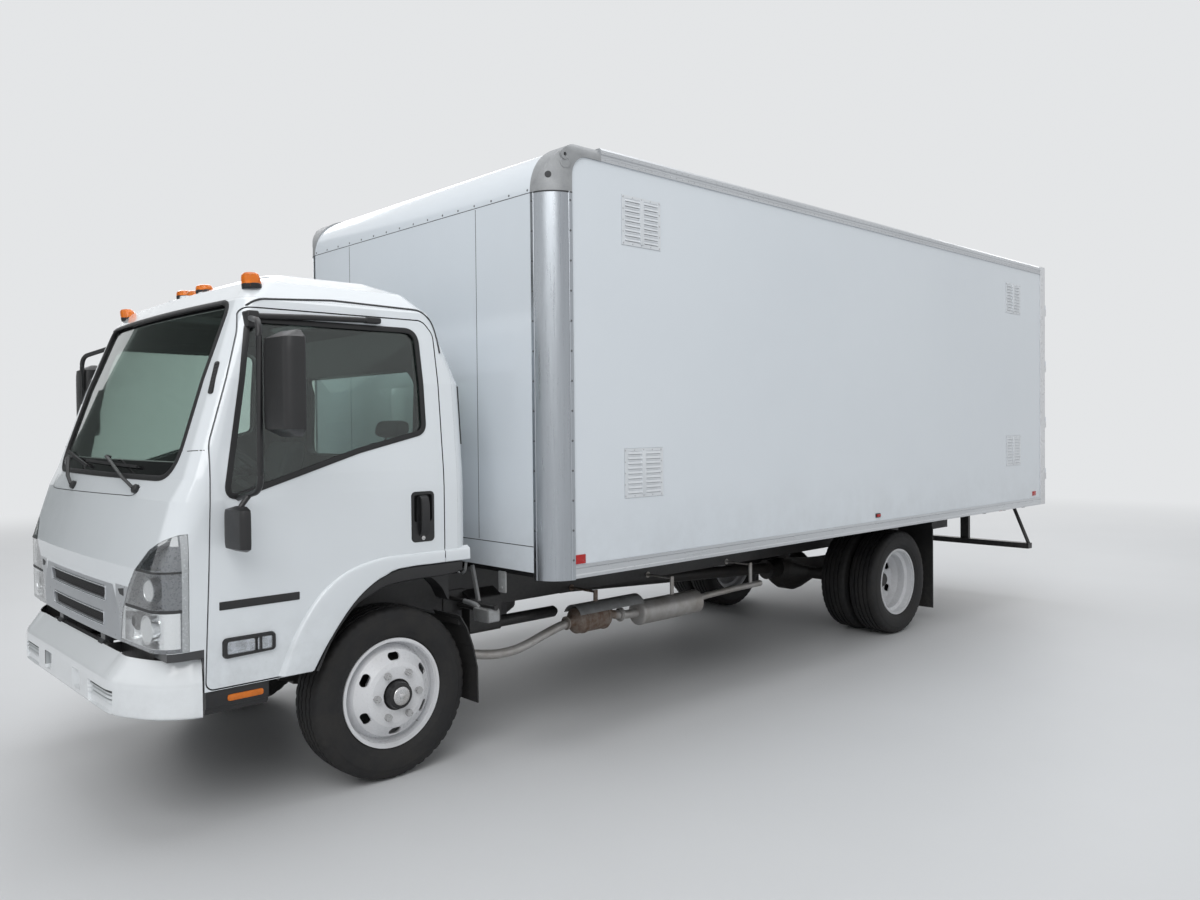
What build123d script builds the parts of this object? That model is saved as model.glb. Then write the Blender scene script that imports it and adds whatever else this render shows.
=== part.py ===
from build123d import *
from math import cos, sin, pi, radians
import os

# Box truck: a low cab-forward chassis with a tilting cab and a 20 ft van body.
# Millimetres. +Z is up, the front faces -Y and +X is the driver's side.
# The origin is on the ground under the middle of the truck's overall box.

# Driving dimensions of the whole truck
OVERALL_LENGTH = 7950
FRONT_OVERHANG = 1175
WHEELBASE = 4470
BODY_HALF_WIDTH = 1295
BODY_TOP = 3088

AXLE_F = FRONT_OVERHANG - OVERALL_LENGTH / 2
AXLE_R = AXLE_F + WHEELBASE

# Tyres and wheels
TYRE_R = 406.5
RIM_R = 258
SEAT_R = 247
RIM_HALF = 84
HUB_FACE = 118
FRONT_X = 822
DUAL_X = 825.5
DUAL_HALF = 127
LUGS = 6
LUG_PCD = 222.25

# Chassis
RAIL_X = 425
RAIL_TOP = 840
RAIL_DEPTH = 213
RAIL_FLANGE = 70
RAIL_WEB = 8
RAIL_FRONT = AXLE_F - 1000
RAIL_REAR = AXLE_F + 6560
KINGPIN_X = 712
AXLE_HALF = 32
YOKE_R = 40
STEER_ARM = 190
TIE_ROD_Z = 295
GEARBOX_END = 1240
TIE_X = KINGPIN_X - 40
TIE_Y = AXLE_F + STEER_ARM

# Van body
BODY_FRONT = AXLE_F + 677
BODY_REAR = AXLE_F + 6735
WALL = 18
SKIN_SET = 8
CORNER_R = 150
NOSE_R = 250
NOSE_SEAM = 2830
RAIL_LOW = 890
RAIL_LOW_TOP = 958
RAIL_HIGH = 3018
FLOOR_TOP = 985
POST_DEPTH = 100
POST_WIDTH = 80
HEADER = 150
DOOR_T = 40
PIN_X = 1281
PIN_OUT = 30
PIN_R = 10

# Cab
TILT_Y = AXLE_F - 1080
TILT_Z = 728
TILT_R = 12
CAB_FLOOR = 1045
WALL_CAB = 50
GAP = 6
GLASS = 6


def slab(x, y, z):
    """A block from three (low, high) ranges."""
    size = [b - a for a, b in (x, y, z)]
    middle = [(a + b) / 2 for a, b in (x, y, z)]
    return Pos(*middle) * Box(*size)


def outline(points, radius=0):
    """A closed outline with rounded corners, one radius or one for each point."""
    if not radius:
        return Polyline(*points, close=True)
    return FilletPolyline(*points, radius=radius, close=True)


def along_x(points, x, radius=0):
    """A (y, z) outline carried from x[0] to x[1]."""
    face = Plane.YZ * make_face(outline(points, radius))
    return Pos(x[0], 0, 0) * extrude(face, x[1] - x[0])


def along_y(points, y, radius=0):
    """An (x, z) outline carried from y[0] to y[1]."""
    face = Plane.XZ * make_face(outline(points, radius))
    return Pos(0, y[1], 0) * extrude(face, y[1] - y[0])


def along_z(points, z, radius=0):
    """An (x, y) outline carried from z[0] to z[1]."""
    face = make_face(outline(points, radius))
    return Pos(0, 0, z[0]) * extrude(face, z[1] - z[0])


def rod(start, end, radius):
    """A round bar between two points."""
    run = Vector(*end) - Vector(*start)
    return Plane(origin=start, z_dir=run) * Cylinder(radius, run.length, align=(Align.CENTER, Align.CENTER, Align.MIN))


def spun(points, at):
    """A ring about an axle: an (x, radius) outline turned about the line through at."""
    face = make_face(Polyline(*points, close=True))
    return Pos(*at) * revolve(face, Axis.X)


def other_side(piece):
    return mirror(piece, about=Plane.YZ)


def both(piece):
    return [piece, other_side(piece)]


NODES = {}


def node(name, *pieces):
    """Write the pieces that share one name as one sub-part."""
    solids = []
    for piece in pieces:
        solids += piece if isinstance(piece, (list, ShapeList)) else [piece]
    flat = []
    for solid in solids:
        flat += solid.solids()
    NODES[name] = flat


# Tyre outline as (across, radius) from the outer bead round to the inner one
TYRE_SIDE = [(82, SEAT_R), (83, RIM_R + 1), (98, 274), (113, 325), (110, 366), (97, 394), (78, 403)]
TYRE = [(-x, r) for x, r in TYRE_SIDE] + [(0, TYRE_R)] + TYRE_SIDE[::-1]


def tyre(x, y):
    return spun(TYRE, (x, y, TYRE_R))


# Rim outline as (across, radius), flange to flange over the drop centre
RIM_OUT = [(-RIM_HALF - 9, RIM_R), (-RIM_HALF, RIM_R), (-RIM_HALF + 2, SEAT_R), (-44, SEAT_R - 4),
           (-30, 222), (18, 222), (44, SEAT_R - 4), (RIM_HALF - 2, SEAT_R), (RIM_HALF, RIM_R), (RIM_HALF + 9, RIM_R)]
RIM_WALL = 8


def rim():
    inner = [(x, r - RIM_WALL - (6 if abs(x) > RIM_HALF else 0)) for x, r in reversed(RIM_OUT)]
    return revolve(make_face(Polyline(*RIM_OUT, *inner, close=True)), Axis.X)


# Disc outline as (across, radius): the bolted pad, the bowl and the lip that meets the rim
DISC = [(HUB_FACE, 70), (HUB_FACE, 128), (HUB_FACE - 6, 150), (HUB_FACE - 44, 196), (28, 215), (8, 215),
        (8, 223), (34, 223), (HUB_FACE - 36, 203), (HUB_FACE + 4, 152), (HUB_FACE + 10, 130), (HUB_FACE + 10, 70)]
HAND_HOLE = (62, 34)
HAND_R = 176


def wheel_disc():
    disc = revolve(make_face(Polyline(*DISC, close=True)), Axis.X)
    hole = Pos(HUB_FACE - 30, 0, HAND_R) * Rot(0, 90, 0) * extrude(SlotOverall(HAND_HOLE[0], HAND_HOLE[1], 90), 120, both=True)
    holes = [Rot(360 / LUGS * i, 0, 0) * hole for i in range(LUGS)]
    return disc - holes


def steel_wheel(outward):
    """One rim and its disc, the disc's pad towards +X, or -X when outward is -1."""
    wheel = rim() + wheel_disc()
    return wheel if outward > 0 else other_side(wheel)


def lugs(face, length, radius):
    nut = Rot(0, 90, 0) * extrude(RegularPolygon(radius, 6), length)
    turns = [Rot(360 / LUGS * i + 30, 0, 0) * Pos(face, 0, LUG_PCD / 2) * nut for i in range(LUGS)]
    return turns


def front_wheel(x, y):
    """Wheel, lug nuts and hub, made for the +X side about its own centre."""
    hub = [(-20, 30), (-20, 90), (HUB_FACE, 90), (HUB_FACE, 68), (HUB_FACE + 44, 60), (HUB_FACE + 48, 52),
           (HUB_FACE + 50, 46), (HUB_FACE + 50, 0), (HUB_FACE - 40, 0), (HUB_FACE - 40, 30)]
    wheel = steel_wheel(1) + revolve(make_face(Polyline(*hub, close=True)), Axis.X) + lugs(HUB_FACE + 8, 26, 17)
    return Pos(x, y, TYRE_R) * wheel


def rear_wheels(x, y):
    """Two rims bolted pad to pad with the axle's flange standing out of the outer one."""
    outer = Pos(DUAL_HALF, 0, 0) * steel_wheel(-1)
    inner = Pos(-DUAL_HALF, 0, 0) * steel_wheel(1)
    hub = [(-170, 62), (-170, 150), (-150, 150), (-140, 84), (60, 84), (70, 62), (70, 56), (96, 50), (104, 40), (104, 0),
           (30, 0), (30, 62)]
    hub = revolve(make_face(Polyline(*hub, close=True)), Axis.X)
    pair = outer + inner + hub + lugs(8, 34, 17)
    return Pos(x, y, TYRE_R) * pair


def running_gear():
    for side, sign in (("left", 1), ("right", -1)):
        flip = (lambda piece: piece) if sign > 0 else other_side
        node(f"front_tyre_{side}", flip(tyre(FRONT_X, AXLE_F)))
        node(f"front_wheel_{side}", flip(front_wheel(FRONT_X, AXLE_F)))
        node(f"rear_tyres_{side}", [flip(tyre(DUAL_X + s * DUAL_HALF, AXLE_R)) for s in (-1, 1)])
        node(f"rear_wheels_{side}", flip(rear_wheels(DUAL_X, AXLE_R)))
        node(f"knuckle_{side}", flip(knuckle()))
    node("tie_rod", rod((-TIE_X, TIE_Y, TIE_ROD_Z), (TIE_X, TIE_Y, TIE_ROD_Z), 17)
         + [Pos(s * TIE_X, TIE_Y, TIE_ROD_Z) * Cylinder(26, 40) for s in (-1, 1)])


def knuckle():
    """Spindle, kingpin barrel, brake backing and the steering arm."""
    z = TYRE_R
    barrel = Pos(KINGPIN_X, AXLE_F, z) * (Cylinder(36, 190) - Cylinder(60, 92))
    yoke = slab((KINGPIN_X + 12, KINGPIN_X + 52), (AXLE_F - 45, AXLE_F + 45), (z - 95, z + 95))
    yoke -= Pos(KINGPIN_X, AXLE_F, z) * Cylinder(YOKE_R, 92)
    backing = [(FRONT_X - 66, 20), (FRONT_X - 66, 150), (FRONT_X - 72, 190), (FRONT_X - 60, 190), (FRONT_X - 54, 150), (FRONT_X - 54, 20)]
    yoke += spun(backing, (0, AXLE_F, z))
    spindle = rod((KINGPIN_X + 42, AXLE_F, z), (FRONT_X + 60, AXLE_F, z), 27)
    arm = along_z([(KINGPIN_X + 40, AXLE_F + 20), (KINGPIN_X + 15, AXLE_F - 10), (TIE_X - 24, TIE_Y - 4),
                   (TIE_X + 20, TIE_Y + 24)], (TIE_ROD_Z + 21, TIE_ROD_Z + 49), 12)
    return barrel + yoke + spindle + arm


def axles():
    z = TYRE_R
    beam = along_y([(-600, z - 40), (-520, z - 110), (520, z - 110), (600, z - 40), (KINGPIN_X, z - 40),
                    (KINGPIN_X, z + 40), (600, z + 40), (500, z - 40), (-500, z - 40), (-600, z + 40),
                    (-KINGPIN_X, z + 40), (-KINGPIN_X, z - 40)], (AXLE_F - AXLE_HALF, AXLE_F + AXLE_HALF))
    ends = [Pos(s * KINGPIN_X, AXLE_F, z) * Cylinder(AXLE_HALF, 80) for s in (-1, 1)]
    node("front_axle", beam + ends)
    housing = [(-850, 0), (-850, 58), (-640, 58), (-640, 62), (-250, 62), (-120, 150), (-60, 178), (60, 178), (120, 150), (250, 62),
               (640, 62), (640, 58), (850, 58), (850, 0)]
    banjo = Pos(0, AXLE_R, z) * revolve(make_face(Polyline(*housing, close=True)), Axis.X)
    nose = rod((0, AXLE_R - 320, z + 20), (0, AXLE_R, z + 20), 80)
    node("rear_axle", banjo + nose)
    node("leaf_springs", [spring(s, *row) for s in (-1, 1) for row in SPRINGS])
    shaft = rod((0, AXLE_F + 1200, 612), (0, AXLE_R - 280, 438), 45)
    node("drive_shaft", shaft & slab((-100, 100), (AXLE_F + GEARBOX_END, AXLE_R - 320), (300, 800)))


SPRING_X = 398


# Spring packs as y of the axle, half length, leaves, bottom of the pack and rise of the eyes
LEAF = 14
SPRINGS = [(AXLE_F, 560, 6, TYRE_R - 40, 120), (AXLE_R, 640, 6, TYRE_R + 62, 60)]


def spring(side, y, half, leaves, low, rise):
    """A bowed pack of leaves, each shorter than the one above it."""
    pack = None
    for i in range(leaves):
        reach = half * (1 - 0.13 * i)
        top = low + LEAF * (leaves - i)
        drop = rise * (reach / half) ** 2
        bow = make_face([ThreePointArc((y - reach, top + drop), (y, top), (y + reach, top + drop)),
                         Line((y + reach, top + drop), (y + reach, top + drop - LEAF)),
                         ThreePointArc((y + reach, top + drop - LEAF), (y, top - LEAF), (y - reach, top + drop - LEAF)),
                         Line((y - reach, top + drop - LEAF), (y - reach, top + drop))])
        solid = Pos(side * SPRING_X - 35, 0, 0) * extrude(Plane.YZ * bow, 70)
        pack = solid if pack is None else pack + solid
    return pack


def spring_brackets():
    """Hangers from the rail's underside to each end of each spring."""
    out = []
    for y, half, leaves, low, rise in SPRINGS:
        top = low + LEAF * leaves + rise
        for side in (-1, 1):
            for end in (-1, 1):
                at = y + end * (half - 30)
                bracket = slab((side * SPRING_X - 25, side * SPRING_X + 25), (at - 30, at + 30),
                               (top - LEAF, RAIL_TOP - RAIL_DEPTH))
                out.append(max((bracket - spring(side, y, half, leaves, low, rise)).solids(), key=lambda s: s.center().Z))
    return out


def channel(side, web_x):
    """A rail: a channel open towards the middle of the truck."""
    low = RAIL_TOP - RAIL_DEPTH
    x = side * web_x
    inner = x - side * RAIL_FLANGE
    t = side * RAIL_WEB
    points = [(x, low), (x, RAIL_TOP), (inner, RAIL_TOP), (inner, RAIL_TOP - RAIL_WEB), (x - t, RAIL_TOP - RAIL_WEB),
              (x - t, low + RAIL_WEB), (inner, low + RAIL_WEB), (inner, low)]
    return along_y(points, (RAIL_FRONT, RAIL_REAR))


# Cross-members as distance behind the front axle, and depth of each
CROSS = [(-930, 120), (1330, 140), (2150, 140), (3150, 140), (4030, 150), (4900, 150), (5750, 120), (6500, 150)]
CROSS_WIDE = 70
CROSS_TOP = RAIL_TOP - 30
HITCH = (100, 40, 8.5)


def cross_member(back, depth):
    """A channel between the rails, its web at the rear and its flanges forward."""
    y0, y1 = AXLE_F + back - CROSS_WIDE / 2, AXLE_F + back + CROSS_WIDE / 2
    low, high, t = CROSS_TOP - depth, CROSS_TOP, RAIL_WEB
    points = [(y0, low), (y1, low), (y1, high), (y0, high), (y0, high - t), (y1 - t, high - t), (y1 - t, low + t), (y0, low + t)]
    return along_x(points, (-RAIL_X + RAIL_WEB, RAIL_X - RAIL_WEB))


def chassis():
    frame = channel(1, RAIL_X) + channel(-1, RAIL_X)
    for back, depth in CROSS:
        frame += cross_member(back, depth)
    hx, hz, hr = HITCH
    middle = CROSS_TOP - CROSS[-1][1] / 2
    for x in (-hx, hx):
        for z in (middle - hz, middle + hz):
            frame -= rod((x, AXLE_F + CROSS[-1][0], z), (x, AXLE_F + CROSS[-1][0] + 60, z), hr)
    frame += spring_brackets()
    frame += rod((-420, TILT_Y, TILT_Z), (420, TILT_Y, TILT_Z), TILT_R)
    for s in (-1, 1):
        frame += slab((s * 412 - 13, s * 412 + 13), (TILT_Y - 18, RAIL_FRONT), (TILT_Z - 30, TILT_Z + TILT_R))
    node("chassis_frame", frame)
    block = slab((-300, 300), (AXLE_F - 430, AXLE_F + 560), (470, 850))
    block += slab((-190, 190), (AXLE_F + 560, AXLE_F + GEARBOX_END), (500, 760))
    for s in (-1, 1):
        block += slab((s * 358 - 59, s * 358 + 59), (AXLE_F - 200, AXLE_F - 120), (650, 690))
    node("engine_block", block)
    tank = along_y([(-980, 400), (-470, 400), (-470, 800), (-980, 800)], (AXLE_F + 2300, AXLE_F + 3300), 60)
    for y in (2450, 3150):
        tank += slab((-471, -RAIL_X), (AXLE_F + y - 30, AXLE_F + y + 30), (640, 740))
    node("fuel_tank", tank)
    case = along_x([(AXLE_F + 1000, 420), (AXLE_F + 1480, 420), (AXLE_F + 1480, 780), (AXLE_F + 1000, 780)],
                   (-960, -480), 20)
    case += slab((-481, -RAIL_X), (AXLE_F + 1100, AXLE_F + 1380), (640, 700))
    node("battery_box", case)
    node("bumper", bumper())
    node("mud_flaps", rear_flaps(), front_guards())
    guard = slab((-1190, 1190), (BODY_REAR - 120, BODY_REAR - 40), (470, 520))
    for s in (-1, 1):
        guard += slab((s * 560 - 40, s * 560 + 40), (BODY_REAR - 95, BODY_REAR - 55), (519, RAIL_LOW))
        guard += rod((s * 1180, BODY_REAR - 75, 500), (s * 1020, BODY_REAR - 75, RAIL_LOW - 4), 16)
    node("underride_guard", guard & slab((-1300, 1300), (BODY_REAR - 200, BODY_REAR), (400, RAIL_LOW)))
    exhaust()


FLAP_Y = AXLE_R + 560


def rear_flaps():
    """Rubber flaps behind the twin wheels, each on a bar from the chassis rail."""
    out = []
    for s in (-1, 1):
        flap = slab((s * 895 - 155, s * 895 + 155), (FLAP_Y, FLAP_Y + 10), (120, 800))
        x0, x1 = sorted((s * RAIL_X, s * 1050))
        out.append(flap + slab((x0, x1), (FLAP_Y - 12, FLAP_Y + 20), (799, 830)))
    return out


# Front flap as y from the front axle and height, down its front face
GUARD = [(350, 728), (392, 660), (428, 560), (452, 450), (455, 272)]
GUARD_T = 8


def front_guards():
    """A bent flap behind each front wheel on a bar from the rail."""
    out = []
    profile = GUARD + [(y + GUARD_T, z) for y, z in reversed(GUARD)]
    for s in (-1, 1):
        x0, x1 = sorted((s * 725, s * 960))
        b0, b1 = sorted((s * RAIL_X, s * 930))
        bar = slab((b0, b1), (AXLE_F + 364, AXLE_F + 394), (676, 702))
        out.append(along_x(rel(profile), (x0, x1)) + bar)
    return out


def polar(y, z, r, angle):
    return (y + r * cos(radians(angle)), z + r * sin(radians(angle)))


EXHAUST_X = 640


def exhaust():
    """Pipe from the engine's side round into the canister, then the muffler on the rail's outer side."""
    x = EXHAUST_X
    route = FilletPolyline((290, AXLE_F + 500, 500), (450, AXLE_F + 560, 470), (x, AXLE_F + 830, 385),
                           (x, AXLE_F + 1080, 385), (x, AXLE_F + 1330, 475), (x, AXLE_F + 1500, 475), radius=90)
    pipe = sweep(Plane(origin=route @ 0, z_dir=route % 0) * Circle(38), path=route)
    canister = rod((x, AXLE_F + 1400, 475), (x, AXLE_F + 1740, 475), 105)
    link = rod((x, AXLE_F + 1700, 475), (x, AXLE_F + 2000, 475), 45)
    muffler = rod((x, AXLE_F + 1960, 475), (x, AXLE_F + 2560, 475), 105)
    tail = rod((x, AXLE_F + 2550, 475), (x, AXLE_F + 2720, 475), 38)
    hangers = [slab((RAIL_X, x + 12), (AXLE_F + y - 15, AXLE_F + y + 15), (640, 656)) + slab((x - 12, x + 12), (AXLE_F + y - 15, AXLE_F + y + 15), (570, 656))
               for y in (1570, 2260)]
    pipe -= slab((200, 300), (AXLE_F, AXLE_F + 560), (400, 600))
    node("exhaust", pipe + canister + link + muffler + tail + hangers)


# Bumper plan as (x, y from the front axle) round the driver's half
BUMPER_PLAN = [(0, -1175), (680, -1175), (801, -1118), (913, -1051), (985, -960), (991, -912)]
# Bumper section as height and how far the face stands back there
BUMPER_SECTION = [(503, 14), (520, 0), (636, 0), (662, 10), (712, 42), (735, 62)]
# Inner plans, under the ledge and through it
BUMPER_HOLLOW = [(0, -1130), (640, -1130), (750, -1082), (852, -1020), (926, -940), (932, -910)]
BUMPER_WELL = [(0, -1074), (640, -1074), (730, -1036), (815, -975), (850, -910)]
BUMPER_LOW = 503
BUMPER_HIGH = 735


def bumper_ring(back):
    """The bumper's plan outline with its face set back, left and right halves joined."""
    half = []
    for x, y in BUMPER_PLAN:
        turn = min(1.0, max(0.0, (x - 640) / 345))
        half.append((x - back * turn, AXLE_F + y + back * (1 - 0.45 * turn)))
    half[-1] = (half[-1][0], AXLE_F + BUMPER_PLAN[-1][1])
    return half + [(-x, y) for x, y in reversed(half[1:])]


def bumper():
    """A folded shell, open at the back, on two arms from the rails, with lamp recesses and a tow slot."""
    body = loft([Pos(0, 0, z) * make_face(Polyline(*bumper_ring(back), close=True)) for z, back in BUMPER_SECTION], ruled=True)
    for plan, low, high in ((BUMPER_HOLLOW, BUMPER_LOW - 1, 640), (BUMPER_WELL, 639, BUMPER_HIGH + 1)):
        half = [(x, AXLE_F + y) for x, y in plan]
        body -= along_z([*half, *[(-x, y) for x, y in reversed(half[1:])]], (low, high))
    body -= slab((-440, 440), (AXLE_F - 1110, AXLE_F - 900), (BUMPER_LOW, BUMPER_HIGH + 1))
    for s in (-1, 1):
        x0, x1 = sorted((s * 560, s * 668))
        body -= slab((x0, x1), (AXLE_F - 1180, AXLE_F - 1158), (528, 626))
        x0, x1 = sorted((s * 566, s * 662))
        for i in range(3):
            body += slab((x0 - 7, x1 + 7), (AXLE_F - 1170, AXLE_F - 1157), (548 + 25 * i, 560 + 25 * i))
        x0, x1 = sorted((s * 455, s * 500))
        body -= slab((x0, x1), (AXLE_F - 1180, AXLE_F - 1155), (536, 622))
        body += slab((s * 390 - 20, s * 390 + 20), (AXLE_F - 1131, RAIL_FRONT), (620, 690))
    return body


def van_body():
    skin = BODY_HALF_WIDTH - SKIN_SET
    rear_in = BODY_REAR - POST_DEPTH
    side = slab((skin - WALL, skin), (BODY_FRONT + CORNER_R, rear_in), (RAIL_LOW + 12, RAIL_HIGH + 8))
    for a, b, c, d in VENTS:
        side -= slab((skin - WALL - 1, skin + 1), (AXLE_F + a, AXLE_F + b), (c, d))
    node("box_side_left", side)
    node("box_side_right", other_side(side))
    node("side_vents", [s for a, b, c, d in VENTS for s in both(vent(a, b, c, d))])
    node("box_front_wall", slab((-BODY_HALF_WIDTH + CORNER_R, BODY_HALF_WIDTH - CORNER_R),
                                (BODY_FRONT + 2, BODY_FRONT + 2 + WALL), (RAIL_LOW + 30, NOSE_SEAM - 0.5)))
    node("box_nose_cap", nose_cap())
    roof_z = BODY_TOP - 14
    node("box_roof", slab((-BODY_HALF_WIDTH + 70, BODY_HALF_WIDTH - 70), (BODY_FRONT + NOSE_R, rear_in), (roof_z - WALL, roof_z)))
    node("corner_posts", both(corner_post()))
    node("corner_castings", both(corner_casting()))
    high = along_y([(1225, 3030), (skin, 3030), (skin, RAIL_HIGH), (BODY_HALF_WIDTH, RAIL_HIGH), (BODY_HALF_WIDTH, 3034),
                    (1290, 3040), (1290, 3050), (BODY_HALF_WIDTH, 3056), (BODY_HALF_WIDTH, 3076), (1283, BODY_TOP),
                    (1225, BODY_TOP)], (BODY_FRONT + CASTING_BACK, rear_in))
    low = along_y([(1264, RAIL_LOW_TOP), (1264, RAIL_LOW), (BODY_HALF_WIDTH, RAIL_LOW), (BODY_HALF_WIDTH, 905), (1291, 910),
                   (1291, 938), (BODY_HALF_WIDTH, 943), (BODY_HALF_WIDTH, RAIL_LOW_TOP), (skin + 0.5, RAIL_LOW_TOP),
                   (skin + 0.5, RAIL_LOW + 11), (skin - WALL - 0.5, RAIL_LOW + 11), (skin - WALL - 0.5, RAIL_LOW_TOP)],
                  (BODY_FRONT + CORNER_R, rear_in))
    node("top_rails", both(high))
    node("bottom_rails", both(low))
    x, y, cut = 1263, BODY_FRONT + 21, 120
    plan = [(-x + cut, y), (x - cut, y), (x, y + cut), (x, rear_in), (-x, rear_in), (-x, y + cut)]
    node("box_floor", along_z(plan, (FLOOR_TOP - 32, FLOOR_TOP)) + sills())
    node("rear_frame", rear_frame())
    for name, piece in (("left", cargo_door()), ("right", other_side(cargo_door()))):
        node(f"cargo_door_{name}", piece)


def sills():
    """Two long sills on the chassis rails and the cross-members over them."""
    out = None
    for s in (-1, 1):
        long = slab((s * 390 - 35, s * 390 + 35), (BODY_FRONT + 60, BODY_REAR - POST_DEPTH), (RAIL_TOP, 866))
        out = long if out is None else out + long
    for i in range(15):
        y = BODY_FRONT + 150 + 404 * i
        out += slab((-1200, 1200), (y - 25, y + 25), (866, FLOOR_TOP - 32))
    return out


# Louvred vents as y from the front axle, low and high, and z low and high
VENTS = [(1180, 1480, 2612, 2877), (1186, 1486, 1273, 1538), (5900, 6200, 2612, 2877), (5905, 6205, 1273, 1538)]


def vent(y0, y1, z0, z1):
    skin = BODY_HALF_WIDTH - SKIN_SET
    y0 += AXLE_F
    y1 += AXLE_F
    frame = slab((skin - 6, skin + 3), (y0 + 1, y1 - 1), (z0 + 1, z1 - 1))
    for col in range(2):
        a = y0 + 25 + col * 130
        for i in range(9):
            z = z0 + 22 + i * 26
            frame -= slab((skin - 7, skin + 5), (a, a + 120), (z, z + 18))
            blade = [(skin - 5, z + 21), (skin - 1, z + 21), (skin + 6.5, z + 5), (skin + 6.5, z + 2), (skin + 3.5, z + 2), (skin - 5, z + 14)]
            frame += along_y(blade, (a - 1, a + 121))
    return frame


CASTING_BACK = 353


FLANGE = 26


def corner_post():
    """Quarter-round extrusion, a crease on each side of its bend and a flat flange beyond each crease."""
    x, y = BODY_HALF_WIDTH, BODY_FRONT
    r = CORNER_R - FLANGE
    cx, cy = x - CORNER_R, y + CORNER_R
    face = make_face([CenterArc((x - CORNER_R + 2, cy - 2), r + 22, -90 + 6, 78),
                      Line(plan_polar(cx + 2, cy - 2, r + 22, -6), (x - 3, cy - FLANGE + 2)),
                      Line((x - 3, cy - FLANGE + 2), (x, cy - FLANGE + 5)), Line((x, cy - FLANGE + 5), (x, cy)),
                      Line((x, cy), (x - 7, cy)), Line((x - 7, cy), (x - 10, cy - FLANGE)),
                      ThreePointArc((x - 10, cy - FLANGE), plan_polar(cx, cy, CORNER_R - 16, -45), (cx + FLANGE, y + 10)),
                      Line((cx + FLANGE, y + 10), (cx, y + 7)), Line((cx, y + 7), (cx, y)),
                      Line((cx, y), (cx + FLANGE - 5, y)), Line((cx + FLANGE - 5, y), (cx + FLANGE - 2, y + 3)),
                      Line((cx + FLANGE - 2, y + 3), plan_polar(cx + 2, cy - 2, r + 22, -84))])
    return Pos(0, 0, RAIL_LOW - 5) * extrude(face, NOSE_SEAM - RAIL_LOW + 5)


def plan_polar(x, y, r, angle):
    return (x + r * cos(radians(angle)), y + r * sin(radians(angle)))


def nose_outline(inset, deep=400):
    """The nose in profile: up the front wall and round to the roof."""
    y, z = BODY_FRONT + inset, BODY_TOP - 10 - inset
    low = NOSE_SEAM - deep
    return [(y, low), (y, z), (y + deep, z), (y + deep, low)], [0, NOSE_R - inset, 0, 0]


def nose_cap():
    half = BODY_HALF_WIDTH - CORNER_R
    points, radii = nose_outline(0)
    inner, inner_radii = nose_outline(WALL)
    solid = along_x(points, (-half, half), radii) - along_x(inner, (-half - 1, half + 1), inner_radii)
    return solid & slab((-half, half), (BODY_FRONT - 1, BODY_FRONT + NOSE_R), (NOSE_SEAM, BODY_TOP))


def casting_block():
    """Corner block rounded in plan, in profile and along the roof's edge."""
    x, y, z = BODY_HALF_WIDTH, BODY_FRONT, BODY_TOP
    low, back, inner = NOSE_SEAM, BODY_FRONT + CASTING_BACK, BODY_HALF_WIDTH - CORNER_R
    deep = 400
    plan = along_z([(inner - deep, y), (x, y), (x, back), (inner - deep, back)], (low, z), [0, CORNER_R, 0, 0])
    side = along_x([(y, low - deep), (y, z), (back, z), (back, low - deep)], (inner, x), [0, NOSE_R, 0, 0])
    end = along_y([(inner - deep, low), (inner - deep, z), (x, z), (x, low)], (y, back), [0, 0, 60, 0])
    return plan & side & end


def casting_void():
    """The hollow behind the casting's skin, cut in flats."""
    x, y, z = BODY_HALF_WIDTH, BODY_FRONT, BODY_TOP
    low, back, inner = NOSE_SEAM - 10, BODY_FRONT + CASTING_BACK + 10, BODY_HALF_WIDTH - CORNER_R - 10
    plan = along_z([(inner, y + 12), (x - CORNER_R + 40, y + 12), (x - 14, y + CORNER_R - 45), (x - 7.5, y + CORNER_R),
                    (x - 7.5, back), (inner, back)], (low, z))
    bend = [polar(y + NOSE_R, z - NOSE_R, NOSE_R - 11, a) for a in (180, 150, 120, 90)]
    side = along_x([(bend[0][0], low), *bend, (back, bend[-1][1]), (back, low)], (inner, x))
    end = along_y([(inner, low), (inner, z - 14), (x - 45, z - 14), (x - 7.5, z - 50), (x - 7.5, low)], (y, back))
    return plan & side & end


def corner_casting():
    shell = casting_block() - casting_void()
    y = BODY_FRONT + CORNER_R
    far = y + 600
    cut = along_x([(y, NOSE_SEAM - 200), (y, RAIL_HIGH), (far, RAIL_HIGH), (far, NOSE_SEAM - 200)], (1200, 1400),
                  [0, 105, 0, 0])
    shell -= cut
    boss_y, boss_z = BODY_FRONT + 168, BODY_TOP - 62
    ring = rod((1270, boss_y - 60, boss_z - 16), (BODY_HALF_WIDTH - 2, boss_y - 60, boss_z - 16), 27)
    shell += ring
    shell -= rod((1240, boss_y - 60, boss_z - 16), (1400, boss_y - 60, boss_z - 16), 10)
    return shell


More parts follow.
